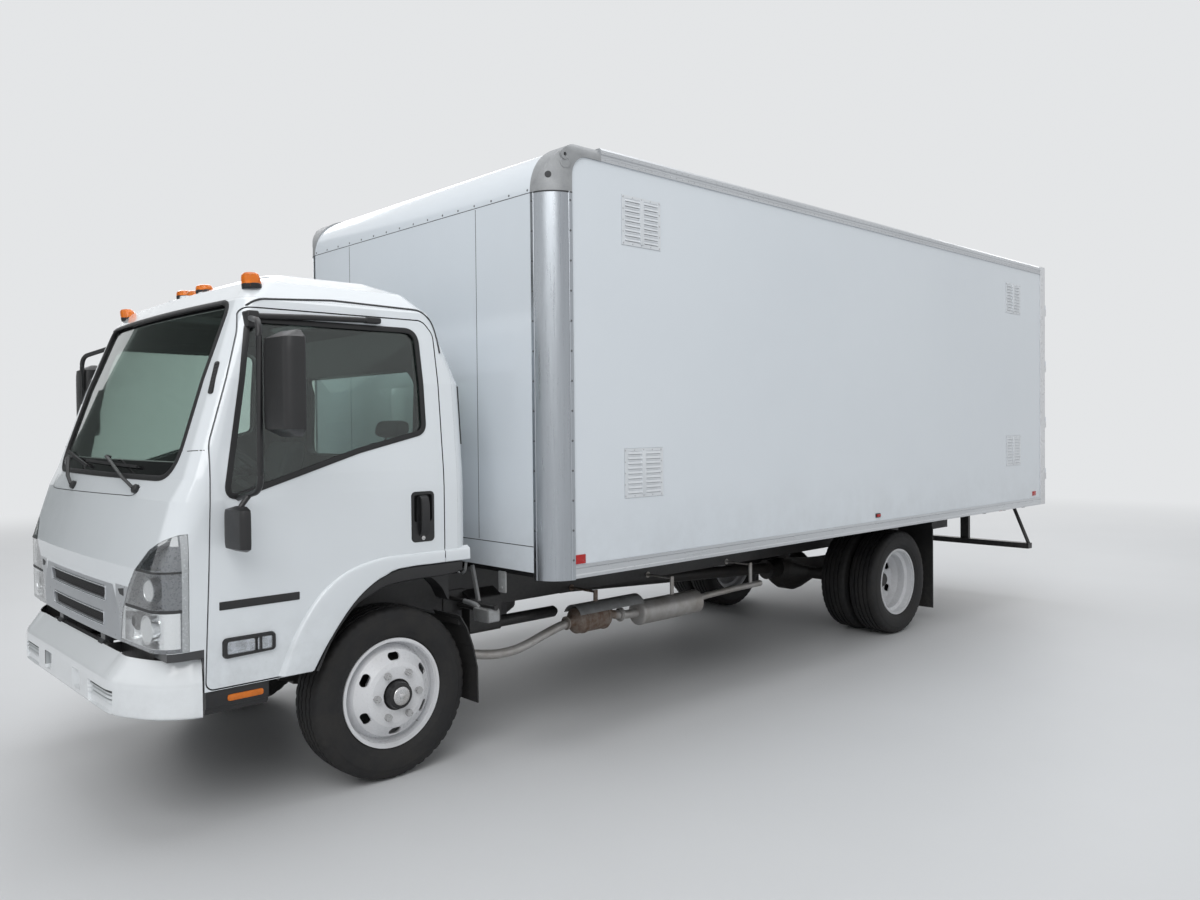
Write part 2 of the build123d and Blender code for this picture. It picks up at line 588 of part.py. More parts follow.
def rear_frame():
    """Two posts, the header and the sill round the cargo doorway."""
    y0, y1 = BODY_REAR - POST_DEPTH, BODY_REAR
    frame = slab((-BODY_HALF_WIDTH, BODY_HALF_WIDTH), (y0, y1), (RAIL_LOW, BODY_TOP))
    frame -= slab((-BODY_HALF_WIDTH + POST_WIDTH, BODY_HALF_WIDTH - POST_WIDTH), (y0 - 1, y1 + 1), (FLOOR_TOP, BODY_TOP - HEADER))
    frame -= slab((-BODY_HALF_WIDTH + 30, BODY_HALF_WIDTH - 30), (y1 - DOOR_T, y1 + 1), (FLOOR_TOP - 45, BODY_TOP - HEADER + 45))
    for s in (-1, 1):
        x0, x1 = sorted((s * (PIN_X - 12), s * (PIN_X + 13)))
        for z in HINGE_Z:
            frame += Pos(s * PIN_X, y1 + PIN_OUT, z - 30) * Cylinder(PIN_R, 58)
            frame += slab((x0, x1), (y1 - 1, y1 + PIN_OUT), (z - 59, z - 1)) & slab((-1295, 1295), (y1 - 1, y1 + 100), (0, 4000))
    return frame


HINGE_Z = [1180, 1660, 2180, 2700]


def cargo_door():
    y0, y1 = BODY_REAR - DOOR_T + 5, BODY_REAR
    z0, z1 = FLOOR_TOP - 40, BODY_TOP - HEADER + 40
    door = slab((4, BODY_HALF_WIDTH - 36), (y0, y1), (z0, z1))
    for z in HINGE_Z:
        door += slab((PIN_X - 210, PIN_X - 25), (y1, y1 + 8), (z + 1, z + 41))
        door += slab((PIN_X - 45, PIN_X + 8), (y1 + 7, y1 + 15), (z + 1, z + 41))
        door += slab((PIN_X - 8, PIN_X + 8), (y1 + 14, y1 + PIN_OUT), (z + 1, z + 41))
        door += Pos(PIN_X, y1 + PIN_OUT, z + 21) * Cylinder(PIN_R, 40)
    door += lock_rod(300, y1, z0, z1)
    return door


def lock_rod(x, y, z0, z1):
    """A full-height bar in three keepers, with its handle."""
    out = rod((x, y + 20, z0 + 30), (x, y + 20, z1 - 30), 13)
    for z in (z0 + 120, 1500, z1 - 120):
        out += slab((x - 35, x + 35), (y, y + 34), (z - 25, z + 25))
    return out + slab((x, x + 330), (y + 14, y + 26), (1380, 1410)) + slab((x + 290, x + 330), (y, y + 20), (1385, 1405))


# Cab sections: height, half width, nose and back from the front axle, nose corner radius, bow of the nose
CAB_SECTIONS = [
    (500, 985, -1100, 385, 100, 24),
    (745, 990, -1106, 385, 100, 26),
    (1100, 1000, -1112, 385, 105, 30),
    (1372, 1000, -1036, 385, 115, 36),
    (1460, 996, -998, 385, 90, 44),
    (1870, 958, -860, 385, 80, 44),
    (2210, 898, -728, 262, 80, 40),
    (2300, 842, -640, 150, 90, 30),
    (2356, 700, -500, 40, 100, 20),
]


def cab_form(inset=0, low=500, top_inset=None):
    """The cab's outer form, or the same form set in by a wall."""
    top_inset = inset if top_inset is None else top_inset
    sections = []
    for z, w, nose, back, r, bow in CAB_SECTIONS:
        w, y0, y1 = w - inset, AXLE_F + nose + inset, AXLE_F + back - inset
        r = max(r - inset * 0.6, 30)
        rb = max(70 - inset, 20)
        zz = z if z < 2000 else z - top_inset
        zz = max(zz, low)
        yc = y0 + bow
        s = sin(pi / 4)
        edges = [
            Line((w, y1 - rb), (w, yc + r)),
            ThreePointArc((w, yc + r), (w - r + r * s, yc + r - r * s), (w - r, yc)),
            ThreePointArc((w - r, yc), (0, y0), (-w + r, yc)),
            ThreePointArc((-w + r, yc), (-w + r - r * s, yc + r - r * s), (-w, yc + r)),
            Line((-w, yc + r), (-w, y1 - rb)),
            ThreePointArc((-w, y1 - rb), (-w + rb - rb * s, y1 - rb + rb * s), (-w + rb, y1)),
            Line((-w + rb, y1), (w - rb, y1)),
            ThreePointArc((w - rb, y1), (w - rb + rb * s, y1 - rb + rb * s), (w, y1 - rb)),
        ]
        sections.append(Pos(0, 0, zz) * make_face(edges))
    picked = [sections[0]]
    for face in sections[1:]:
        if face.center().Z > picked[-1].center().Z + 1:
            picked.append(face)
        else:
            picked[-1] = face
    return loft(picked, ruled=True)


def rel(points):
    """Points given as distance behind the front axle and height."""
    return [(AXLE_F + y, z) for y, z in points]


DOOR = [(-895, 612), (-445, 612), (-360, 770), (-190, 945), (-20, 1008), (240, 1012), (240, 2110), (190, 2172), (-690, 2172),
        (-712, 2065), (-862, 1600)]
DOOR_R = [30, 20, 120, 120, 120, 40, 60, 60, 40, 200, 200]
WINDOW = [(-806, 1375), (-204, 1561), (143, 1642), (143, 2118), (-668, 2118)]
WINDOW_R = [40, 600, 50, 60, 50]
DOOR_IN = 850
ARCH = [(-441, 480), (-441, 602), (-375, 725), (-270, 860), (-170, 945), (-50, 1000), (60, 1012), (500, 1012), (500, 480)]
SCREEN = [(-835, 1462), (835, 1462), (785, 2205), (-785, 2205)]
SCREEN_R = [130, 130, 70, 70]
# Height of the cab's front lower edge, over the bumper's ledge
FRONT_LOW = 781
# Seams where the roof panel and the back panel meet the shell
ROOF_SEAM = 2222
BACK_SEAM = 320
SEAM = 0.4
REAR_WINDOW = [(-620, 1500), (620, 1500), (600, 1960), (-600, 1960)]
LAMP = [(590, FRONT_LOW), (1060, FRONT_LOW), (1060, 1250), (985, 1246), (850, 1180), (700, 1030), (625, 915)]
LAMP_ROUND = [14, 0, 0, 20, 60, 60, 30]
# Lamp pockets as low and high height; the dividers are what is left between them
POCKETS = [(798, 935), (953, 1090), (1106, 1236)]
# Reflector bowls as x, height, radius and pocket they stand in
BOWLS = [(845, 862, 58), (872, 1022, 50)]
GRILLE = [(-600, FRONT_LOW), (600, FRONT_LOW), (585, 900), (520, 1012), (-520, 1012), (-585, 900)]
# Grille slots as half width at the top, half width at the bottom, low and high height
SLOTS = [(430, 405, 938, 986), (400, 380, 826, 872)]
CREASE = [(-594, 612), (-526, 773), (-417, 930), (-275, 1028), (-95, 1071), (385, 1076)]
CREASE_IN = [(-582, 612), (-515, 768), (-408, 922), (-270, 1017), (-93, 1059), (385, 1064)]
ARCH_EDGE = [(385, 1012), (60, 1012), (-50, 1000), (-170, 945), (-270, 860), (-375, 725), (-441, 612)]
FLARE_LOW = [(-412, 600), (-335, 745), (-232, 862), (-100, 925), (40, 938), (205, 938), (290, 870), (345, 740), (385, 740)]
HANDLE = (58, 185, 1118, 1357)
SIDE_LAMP = (-829, -611, 728, 808)


def cabin_space(inner):
    """The room inside: seats' deck over the wheels, a footwell ahead of them and the engine's hump between."""
    room = inner & slab((-1100, 1100), (AXLE_F - 1200, AXLE_F + 500), (CAB_FLOOR, 2500))
    for s in (-1, 1):
        x0, x1 = sorted((s * 500, s * 905))
        room += slab((x0, x1), (AXLE_F - 850, AXLE_F - 470), (690, CAB_FLOOR + 1))
    return room


def cab():
    outer = cab_form()
    inner = cab_form(WALL_CAB)
    tunnel = slab((-345, 345), (AXLE_F - 850, AXLE_F + 400), (CAB_FLOOR - 5, 1130)) & inner
    shell = outer - (cabin_space(inner) - tunnel)
    shell -= slab((-325, 325), (AXLE_F - 630, AXLE_F + 400), (480, 1105))
    shell -= slab((-640, 640), (AXLE_F - 470, AXLE_F + 500), (490, 900))
    shell -= slab((-930, 930), (AXLE_F - 1056, AXLE_F - 470), (490, 660))
    shell -= slab((-450, 450), (AXLE_F - 1056, AXLE_F + 500), (490, 900))
    arch = along_x(rel(ARCH), (520, 1100), [0, 0, 60, 60, 60, 60, 40, 0, 0])
    shell -= [arch, other_side(arch)]
    shell -= slab((-1100, 1100), (AXLE_F - 1200, AXLE_F - 905), (490, 745))
    shell -= slab((-1100, 1100), (AXLE_F - 1200, AXLE_F - 1040), (490, FRONT_LOW))
    shell -= slab((-1100, 1100), (AXLE_F - 1200, AXLE_F - 435), (490, 604))
    for s in (-1, 1):
        eye = rod((s * 330 - 30, TILT_Y, TILT_Z), (s * 330 + 30, TILT_Y, TILT_Z), 2 * TILT_R)
        shell += eye + slab((s * 330 - 30, s * 330 + 30), (TILT_Y - 10, TILT_Y + 24), (TILT_Z, 800))
        shell -= rod((s * 330 - 40, TILT_Y, TILT_Z), (s * 330 + 40, TILT_Y, TILT_Z), TILT_R + 2)
    bulge = arch_bulge()
    skin = outer - inner
    door_solid = (skin & along_x(rel(DOOR), (DOOR_IN, 1100), DOOR_R)) + (bulge & along_x(rel(DOOR), (940, 1100), DOOR_R))
    gap_points = offset_outline(rel(DOOR), DOOR_R)
    hole = gap_points & slab((DOOR_IN - GAP, 1100), (-9000, 9000), (0, 3000))
    wall_zone = outer - cab_form(WALL_CAB + 6)
    hole = hole & wall_zone
    shell -= [hole, other_side(hole)]
    rear_bulge = bulge - gap_points
    rear_bulge = max(rear_bulge.solids(), key=lambda s: s.center().Y)
    shell += [rear_bulge, other_side(rear_bulge)]
    glass_zone = cab_form(8) - cab_form(8 + GLASS)
    window = along_x(rel(WINDOW), (600, 1100), WINDOW_R)
    door = door_solid - window
    glass = glass_zone & window
    y0, y1, z0, z1 = HANDLE
    pocket = along_x(rel([(y0, z0), (y1, z0), (y1, z1), (y0, z1)]), (972, 1100), 22)
    door -= pocket
    cup = along_x(rel([(y0 + 2, z0 + 2), (y1 - 2, z0 + 2), (y1 - 2, z1 - 2), (y0 + 2, z1 - 2)]), (972, 1003), 20)
    cup -= along_x(rel([(y0 + 14, z0 + 96), (y1 - 14, z0 + 96), (y1 - 14, z1 - 14), (y0 + 14, z1 - 14)]), (980, 1100), 14)
    cup += along_x(rel([(y0 + 30, z0 + 88), (y1 - 30, z0 + 88), (y1 - 34, z1 - 22), (y0 + 34, z1 - 22)]), (979, 1001), 10)
    y0, y1, z0, z1 = SIDE_LAMP
    lamp_box = along_x(rel([(y0, z0), (y1, z0 + 6), (y1, z1), (y0, z1)]), (960, 1003), 16)
    lamp_pocket = along_x(rel([(y0 - 2, z0 - 2), (y1 + 2, z0 + 4), (y1 + 2, z1 + 2), (y0 - 2, z1 + 2)]), (960, 1100), 18)
    door -= lamp_pocket
    lamp_box -= slab((994, 1100), (AXLE_F + y0 + 14, AXLE_F + y1 - 68), (z0 + 14, z1 - 12))
    lamp_box -= slab((994, 1100), (AXLE_F + y1 - 58, AXLE_F + y1 - 12), (z0 + 14, z1 - 12))
    screen = along_y(SCREEN, (AXLE_F - 1300, AXLE_F - 500), SCREEN_R)
    shell -= screen
    screen_glass = glass_zone & screen
    back = along_y(REAR_WINDOW, (AXLE_F + 250, AXLE_F + 450), 60)
    shell -= back
    back_glass = glass_zone & back
    lamp_prism = along_y(LAMP, (AXLE_F - 1300, AXLE_F - 930), LAMP_ROUND)
    lamp_zone = skin & lamp_prism & slab((500, 1100), (AXLE_F - 1300, AXLE_F - 960), (700, 1300))
    shell -= [lamp_zone, other_side(lamp_zone)]
    lens, housing = headlamp(outer, lamp_zone)
    grille = along_y(GRILLE, (AXLE_F - 1300, AXLE_F - 900), 20) - lamp_prism - other_side(lamp_prism)
    grille_solid = (cab_form() - cab_form(30)) & grille
    grille_solid = max(grille_solid.solids(), key=lambda s: s.volume)
    shell -= grille & (cab_form() - cab_form(31))
    for top, low, z0, z1 in SLOTS:
        slot = along_y([(-low, z0), (low, z0), (top, z1), (-top, z1)], (AXLE_F - 1300, AXLE_F - 900), 8)
        grille_solid -= slot
    for x, back, z in ROOF_LAMPS:
        shell -= Pos(x, AXLE_F + back, z + 50) * Cylinder(LAMP_R + 1, 100)
        shell += (Pos(x, AXLE_F + back, z - 15) * Cylinder(LAMP_R + 1, 30)) - cab_form(20)
    shell = max(shell.solids(), key=lambda s: s.volume)
    above = slab((-1100, 1100), (AXLE_F - 1300, AXLE_F + 500), (ROOF_SEAM, 2500))
    behind = slab((-1100, 1100), (AXLE_F + BACK_SEAM, AXLE_F + 500), (400, ROOF_SEAM - SEAM))
    node("cab_roof", shell & above)
    node("cab_back_panel", shell & behind)
    shell -= Pos(0, 0, -SEAM) * above
    shell -= Pos(0, -SEAM, 0) * behind
    node("cab_shell", max(shell.solids(), key=lambda s: s.volume))
    node("cab_glass", screen_glass, back_glass)
    node("headlamps", both(housing))
    node("headlamp_lenses", both(lens))
    node("grille", grille_solid)
    node("cab_mouldings", both(flare() & arch), both(cab_sill(outer)))
    for name, flip in (("left", lambda p: p), ("right", other_side)):
        node(f"door_{name}", flip(door))
        node(f"door_glass_{name}", flip(glass))
        node(f"door_fittings_{name}", flip(cup), flip(lamp_box))
        node(f"mirror_{name}", flip(mirror_set(outer)))
    fit_out()


def arch_bulge():
    """The raised lip of the wheel arch, from its crease down to the arch."""
    low = make_face(Polyline(*rel(CREASE + ARCH_EDGE), close=True))
    high = make_face(Polyline(*rel(CREASE_IN + ARCH_EDGE), close=True))
    return loft([Pos(988, 0, 0) * (Plane.YZ * low), Pos(1007, 0, 0) * (Plane.YZ * high)], ruled=True)


def flare():
    """Black moulding under the arch: a flange seated on the shell and a lip that shows."""
    rim = [(385, 1004), (62, 1004), (-46, 992), (-164, 938), (-263, 855), (-367, 721), (-428, 606)]
    seat = [(385, 1012), (60, 1012), (-50, 1000), (-170, 945), (-270, 860), (-375, 725), (-436, 606)]
    lip = along_x(rel(rim + FLARE_LOW), (838, 999))
    return lip + along_x(rel(seat + FLARE_LOW), (796, 840))


def cab_sill(outer):
    """Black sill under the door, set in from the skin, with a step cut in it."""
    block = slab((800, 1100), (AXLE_F - 893, AXLE_F - 447), (486, 604)) & cab_form(16, 486)
    block -= slab((900, 1100), (AXLE_F - 800, AXLE_F - 520), (516, 538))
    return block


def headlamp(outer, zone):
    """A clear cover over a housing with three pockets and two reflector bowls."""
    lens = zone - cab_form(5)
    housing = zone & cab_form(5.4)
    for z0, z1 in POCKETS:
        cut = along_y(lamp_inset(z0, z1), (AXLE_F - 1300, AXLE_F - 960), 6)
        housing -= cut & (cab_form(5) - cab_form(38))
    for x, z, r in BOWLS:
        ring = Pos(x, AXLE_F - 1020, z) * Rot(90, 0, 0) * (Cylinder(r, 120) - Cylinder(r - 6, 122))
        housing += ring & zone & (cab_form(12) - cab_form(42))
    housing = max(housing.solids(), key=lambda s: s.volume)
    return max(lens.solids(), key=lambda s: s.volume), housing


def lamp_inset(z0, z1):
    """One pocket's outline: the lamp's outline set in, between two heights."""
    inner = [(640, 798), (652, 915), (725, 1022), (865, 1165), (945, 1216), (945, 1236)]
    edge = []
    for z in (z0, z1):
        for (xa, za), (xb, zb) in zip(inner, inner[1:]):
            if za <= z <= zb and zb > za:
                edge.append((xa + (xb - xa) * (z - za) / (zb - za), z))
                break
    middle = [(x, z) for x, z in inner if z0 < z < z1]
    return [(960, z0), (960, z1)] + [edge[1]] + middle[::-1] + [edge[0]]


def offset_outline(points, radii):
    face = Plane.YZ * make_face(outline(points, radii))
    grown = offset(face, GAP)
    return Pos(700, 0, 0) * extrude(grown, 400)


MIRROR_X = 1200
MIRROR_Y = -750


def mirror_set(outer):
    """Main and spot mirror heads on a bent tube that stands off the door, and its stay."""
    y = AXLE_F + MIRROR_Y
    route = FilletPolyline((975, y - 10, 1372), (MIRROR_X, y, 1415), (MIRROR_X, y, 2085), (900, y + 90, 2130), radius=45)
    tube = sweep(Plane(origin=route @ 0, z_dir=route % 0) * Circle(12), path=route)
    head = along_z([(MIRROR_X, y + 5), (MIRROR_X + 215, y + 20), (MIRROR_X + 215, y + 85), (MIRROR_X + 195, y + 95),
                    (MIRROR_X + 15, y + 95), (MIRROR_X, y + 85)], (1628, 2042), 8)
    spot = along_z([(1022, y - 85), (1185, y - 70), (1190, y - 40), (1185, y - 34), (1026, y - 34)], (1172, 1352), 6)
    post = rod((1100, y - 50, 1340), (1100, y - 5, 1394), 11)
    feet = slab((940, 1012), (y - 45, y + 25), (1345, 1398)) + slab((880, 950), (y + 64, y + 116), (2085, 2160))
    stay = rod((925, y + 80, 2135), (925, AXLE_F - 70, 2156), 13)
    pad = slab((880, 940), (AXLE_F - 130, AXLE_F - 50), (2140, 2170))
    return (tube + head + spot + post + feet + stay + pad) - outer


WHEEL_R = 212


def fit_out():
    y = AXLE_F
    dash = along_x([(y - 1000, 1130), (y - 700, 1130), (y - 660, 1330), (y - 720, 1400), (y - 900, 1400), (y - 980, 1380)],
                   (-900, 900), 15)
    column = ((520, y - 560, 1480), (520, y - 720, 1310))
    node("dashboard", (dash & cab_form(WALL_CAB + 8)) - rod(*column, 36))
    seats = []
    for x in (-580, 580):
        seats.append(along_x([(y - 330, CAB_FLOOR), (y + 130, CAB_FLOOR), (y + 270, 1700), (y + 200, 1710), (y + 90, 1230),
                              (y - 330, 1230)], (x - 225, x + 225), 30))
    node("seats", seats)
    rim_plane = Pos(520, y - 560, 1480) * Rot(-43, 0, 0)
    grip = revolve(Plane.XZ * (Pos(WHEEL_R, 0) * RegularPolygon(17, 8)), Axis.Z)
    spokes = Box(2 * WHEEL_R - 10, 30, 14) + Pos(0, -WHEEL_R / 2, 0) * Box(34, WHEEL_R - 10, 14)
    hub = Cylinder(62, 40) + Pos(0, 0, -22) * Cylinder(45, 30)
    node("steering_wheel", rim_plane * (grip + hub + spokes) + rod(*column, 30))
    node("roof_lamps", [lamp(x, y + back, z) for x, back, z in ROOF_LAMPS])


# Roof lamps as x, y from the front axle and height of the roof there
ROOF_LAMPS = [(s * x, back, z) for x, back, z in ((700, -520, 2281), (200, -560, 2318)) for s in (-1, 1)] + [(0, -575, 2320)]
LAMP_R = 43
LAMP_H = 66


def lamp(x, y, z):
    """A round amber lamp: a domed lens on a short base."""
    profile = [(0, 0), (LAMP_R, 0), (LAMP_R, 12), (LAMP_R - 4, 30), (LAMP_R - 14, 52), (LAMP_R - 26, LAMP_H - 3), (0, LAMP_H)]
    return Pos(x, y, z) * revolve(Plane.XZ * make_face(Polyline(*profile, close=True)), Axis.Z)


def rear_lamps():
    """Lamp boxes hung under the rear sill."""
    lamps = []
    for s in (-1, 1):
        x0, x1 = sorted((s * 640, s * 900))
        lamps.append(slab((x0, x1), (BODY_REAR - 70, BODY_REAR - 10), (800, RAIL_LOW)))
    node("tail_lamps", lamps)


def main():
    running_gear()
    axles()
    chassis()
    van_body()
    cab()
    rear_lamps()
    os.makedirs("parts", exist_ok=True)
    for name, solids in NODES.items():
        export_step(Compound(children=solids) if len(solids) > 1 else solids[0], f"parts/{name}.step")
        print(name, len(solids))


main()
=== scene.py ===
import bpy
import bmesh
import math
import random
from mathutils import Matrix, Vector
from mathutils.bvhtree import BVHTree


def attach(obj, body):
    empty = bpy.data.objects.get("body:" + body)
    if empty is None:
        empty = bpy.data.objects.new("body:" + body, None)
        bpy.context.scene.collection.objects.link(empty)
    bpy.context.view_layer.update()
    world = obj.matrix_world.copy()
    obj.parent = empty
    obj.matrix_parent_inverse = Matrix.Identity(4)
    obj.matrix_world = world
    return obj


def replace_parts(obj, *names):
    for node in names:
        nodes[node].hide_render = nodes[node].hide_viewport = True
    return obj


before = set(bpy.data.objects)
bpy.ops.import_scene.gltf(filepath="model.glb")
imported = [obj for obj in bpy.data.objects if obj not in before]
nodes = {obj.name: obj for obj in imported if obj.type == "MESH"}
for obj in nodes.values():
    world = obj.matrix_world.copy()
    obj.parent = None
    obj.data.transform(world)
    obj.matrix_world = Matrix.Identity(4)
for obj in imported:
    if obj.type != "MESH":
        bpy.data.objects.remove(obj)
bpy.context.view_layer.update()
random.seed(11)

AXLE_F = -2.8
AXLE_R = 1.67
TYRE_R = 0.4065


# Materials. Each is a node tree on object coordinates, which are the row frame in metres.

class Tree:
    """A new material with short calls for the nodes that the finishes share."""

    def __init__(self, name):
        self.mat = bpy.data.materials.new(name)
        self.mat.use_nodes = True
        self.t = self.mat.node_tree
        self.bsdf = self.t.nodes["Principled BSDF"]
        self.coord = self.t.nodes.new("ShaderNodeTexCoord").outputs["Object"]

    def new(self, kind, **values):
        made = self.t.nodes.new("ShaderNode" + kind)
        for key, value in values.items():
            setattr(made, key, value)
        return made

    def wire(self, a, b):
        self.t.links.new(a, b)

    def put(self, socket, value):
        if hasattr(value, "is_linked"):
            self.wire(value, self.bsdf.inputs[socket])
        elif hasattr(value, "__len__") and len(value) == 3:
            self.bsdf.inputs[socket].default_value = (*value, 1)
        else:
            self.bsdf.inputs[socket].default_value = value

    def feed(self, socket, value):
        if hasattr(value, "is_linked"):
            self.wire(value, socket)
        elif hasattr(value, "__len__") and len(value) == 3 and socket.type == "RGBA":
            socket.default_value = (*value, 1)
        else:
            socket.default_value = value

    def place(self, stretch=(1, 1, 1)):
        m = self.new("Mapping")
        self.wire(self.coord, m.inputs["Vector"])
        m.inputs["Scale"].default_value = stretch
        return m.outputs[0]

    def noise(self, scale, detail=4, rough=0.55, stretch=(1, 1, 1)):
        n = self.new("TexNoise")
        self.wire(self.place(stretch), n.inputs["Vector"])
        n.inputs["Scale"].default_value = scale
        n.inputs["Detail"].default_value = detail
        n.inputs["Roughness"].default_value = rough
        return n.outputs["Fac"]

    def axis(self, name):
        s = self.new("SeparateXYZ")
        self.wire(self.coord, s.inputs[0])
        return s.outputs[name]

    def ramp(self, value, low, high, out_low=0.0, out_high=1.0, smooth=False):
        m = self.new("MapRange", interpolation_type="SMOOTHSTEP" if smooth else "LINEAR")
        self.feed(m.inputs["Value"], value)
        for name, v in (("From Min", low), ("From Max", high), ("To Min", out_low), ("To Max", out_high)):
            m.inputs[name].default_value = v
        return m.outputs[0]

    def math(self, op, a, b=0.0, clamp=False):
        m = self.new("Math", operation=op, use_clamp=clamp)
        self.feed(m.inputs[0], a)
        self.feed(m.inputs[1], b)
        return m.outputs[0]

    def both(self, a, b):
        return self.math("MULTIPLY", a, b)

    def either(self, a, b):
        return self.math("MAXIMUM", a, b)

    def above(self, value, low):
        return self.math("GREATER_THAN", value, low)

    def below(self, value, high):
        return self.math("LESS_THAN", value, high)

    def reach(self):
        """Distance from the middle plane."""
        return self.math("ABSOLUTE", self.axis("X"))

    def within(self, value, low, high):
        """1 where low < value < high, else 0."""
        return self.both(self.above(value, low), self.below(value, high))

    def span(self, y, z):
        """Distance from an axle line that runs along X through (y, z)."""
        across = self.math("SUBTRACT", self.axis("Y"), y)
        up = self.math("SUBTRACT", self.axis("Z"), z)
        squares = self.math("ADD", self.math("MULTIPLY", across, across), self.math("MULTIPLY", up, up))
        return self.math("SQRT", squares)

    def mix(self, share, a, b):
        m = self.new("Mix", data_type="RGBA")
        self.feed(m.inputs[0], share)
        self.feed(m.inputs[6], a)
        self.feed(m.inputs[7], b)
        return m.outputs[2]

    def bump(self, height, distance, strength=1.0, after=None):
        b = self.new("Bump")
        b.inputs["Distance"].default_value = distance
        b.inputs["Strength"].default_value = strength
        self.wire(height, b.inputs["Height"])
        if after is not None:
            self.wire(after, b.inputs["Normal"])
        return b.outputs[0]


MAT = {}


def finish(name, base, rough, metal=0.0, tint=None, patches=2.0, share=0.5, spread=0.08, grain=None,
        waves=None, stretch=(1, 1, 1), coat=0.0, grime=None, specular=0.5, second=()):
    """A surface with drifting colour and gloss, a fine grain, a long wave and grime towards the ground.

    second holds (mask function, colour, roughness, metal) for the parts with another finish, and for painted
    shade.
    """
    t = Tree(name)
    drift = t.noise(patches, 5, 0.6, stretch)
    fine = t.noise(patches * 9, 5, 0.65, stretch)
    colour = t.mix(t.both(t.ramp(drift, 0.35, 0.7), share), base, tint or tuple(c * 0.88 for c in base))
    if grime:
        hue, low, high, amount = grime
        fall = t.ramp(t.axis("Z"), low, high, amount, 0.0)
        mask = t.math("MULTIPLY", fall, t.ramp(fine, 0.38, 0.72), clamp=True)
        colour = t.mix(mask, colour, hue)
    gloss = t.ramp(fine, 0.3, 0.7, max(rough - spread, 0.02), min(rough + spread, 1.0))
    for mask, other, other_rough, other_metal in second:
        where = mask(t)
        colour = t.mix(where, colour, other)
        flat = t.ramp(fine, 0.3, 0.7, other_rough - 0.06, other_rough + 0.06)
        gloss = t.math("ADD", gloss, t.both(where, t.math("SUBTRACT", flat, gloss)))
        metal = t.math("ADD", metal, t.both(where, t.math("SUBTRACT", other_metal, metal)))
    t.put("Base Color", colour)
    t.put("Roughness", gloss)
    t.put("Metallic", metal)
    t.put("Specular IOR Level", specular)
    if coat:
        t.put("Coat Weight", coat)
        t.put("Coat Roughness", 0.04)
    normal = None
    if waves:
        normal = t.bump(t.noise(waves[0], 2, 0.4), waves[1])
    if grain:
        normal = t.bump(t.noise(grain[0], 3, 0.6, stretch), grain[1], after=normal)
    if normal is not None:
        t.put("Normal", normal)
    MAT[name] = t.mat


CAB_MIDDLE = (0.0, -3.15, 1.62)
BUMPER_MIDDLE = (0.0, -3.0, 0.66)


def looks_at(t, middle):
    """The faces that look towards a point."""
    facing = t.new("VectorMath", operation="DOT_PRODUCT")
    away = t.new("VectorMath", operation="SUBTRACT")
    t.wire(t.coord, away.inputs[0])
    away.inputs[1].default_value = middle
    t.wire(t.new("TexCoord").outputs["Normal"], facing.inputs[0])
    t.wire(away.outputs[0], facing.inputs[1])
    return t.ramp(facing.outputs["Value"], -0.1, -0.16)


def bumper_back_shade(t):
    """Painted shade on the bumper's inner side."""
    return looks_at(t, BUMPER_MIDDLE)


def cab_inside_shade(t):
    """Painted shade on the cab's inner faces, in the wheel arches, in the recess behind the grille and under
    the low front.
    """
    inner = looks_at(t, CAB_MIDDLE)
    x = t.reach()
    arch = t.both(t.below(x, 0.955), t.below(t.axis("Z"), 1.035))
    arch = t.both(arch, t.above(t.axis("Y"), -3.8))
    recess = t.both(t.below(x, 0.6), t.below(t.axis("Z"), 1.013))
    recess = t.both(recess, t.above(t.axis("Y"), -3.897))
    low_front = t.either(t.below(x, 0.95), t.below(t.axis("Y"), -3.703))
    under = t.both(low_front, t.below(t.axis("Z"), 0.779))
    return t.either(t.either(inner, under), t.either(arch, recess))


def hub(axle_y, radius, from_x):
    """The hub in the middle of a wheel."""
    def mask(t):
        x = t.reach()
        return t.both(t.below(t.span(axle_y, TYRE_R), radius), t.above(x, from_x))
    return mask


def nuts(axle_y, from_x):
    """The ring of wheel nuts."""
    def mask(t):
        x = t.reach()
        return t.both(t.within(t.span(axle_y, TYRE_R), 0.088, 0.1285), t.above(x, from_x))
    return mask


def lamp_pocket(low, high):
    """One compartment of the headlamps, short of the strip along their outer edge."""
    def mask(t):
        return t.both(t.within(t.axis("Z"), low, high), t.below(t.axis("Y"), -3.792))
    return mask


def lamp_edge(t):
    return t.above(t.axis("Y"), -3.786)


def bumper_gap_shade(t):
    """Painted shade in the gap over the bumper's louvres."""
    x = t.reach()
    return t.both(t.within(x, 0.412, 0.697), t.within(t.axis("Z"), 0.5925, 0.606))


def bumper_shade(t):
    """The lesser gaps, and the deep end of the wedge."""
    x, z = t.reach(), t.axis("Z")
    gaps = t.either(t.within(z, 0.5775, 0.5855), t.within(z, 0.56, 0.5675))
    gaps = t.both(t.within(x, 0.44, 0.697), gaps)
    deep = t.both(t.within(x, 0.255, 0.2875), t.within(z, 0.546, 0.612))
    return t.either(gaps, deep)


def grille_side(t):
    """The silver field between the grille and the headlamps."""
    x = t.reach()
    field = t.both(t.within(x, 0.55, 0.69), t.within(t.axis("Z"), 0.779, 1.019))
    edge = t.both(t.below(x, 0.69), t.within(t.axis("Z"), 0.7785, 0.786))
    field = t.either(field, edge)
    return t.both(field, t.below(t.axis("Y"), -3.8))


def screen_border(t):
    """The printed border of the windscreen, broad along the bottom."""
    x, z = t.reach(), t.axis("Z")
    low = t.ramp(z, 1.53, 1.524)
    high = t.ramp(z, 2.176, 2.18)
    edge = t.ramp(t.math("ADD", x, t.both(z, 0.0673)), 0.9, 0.904)
    return t.both(t.either(low, t.either(high, edge)), t.below(t.axis("Y"), -3.2))


def floor_underside(t):
    return t.either(t.below(t.axis("Z"), 0.975), t.below(t.axis("Y"), -2.05))


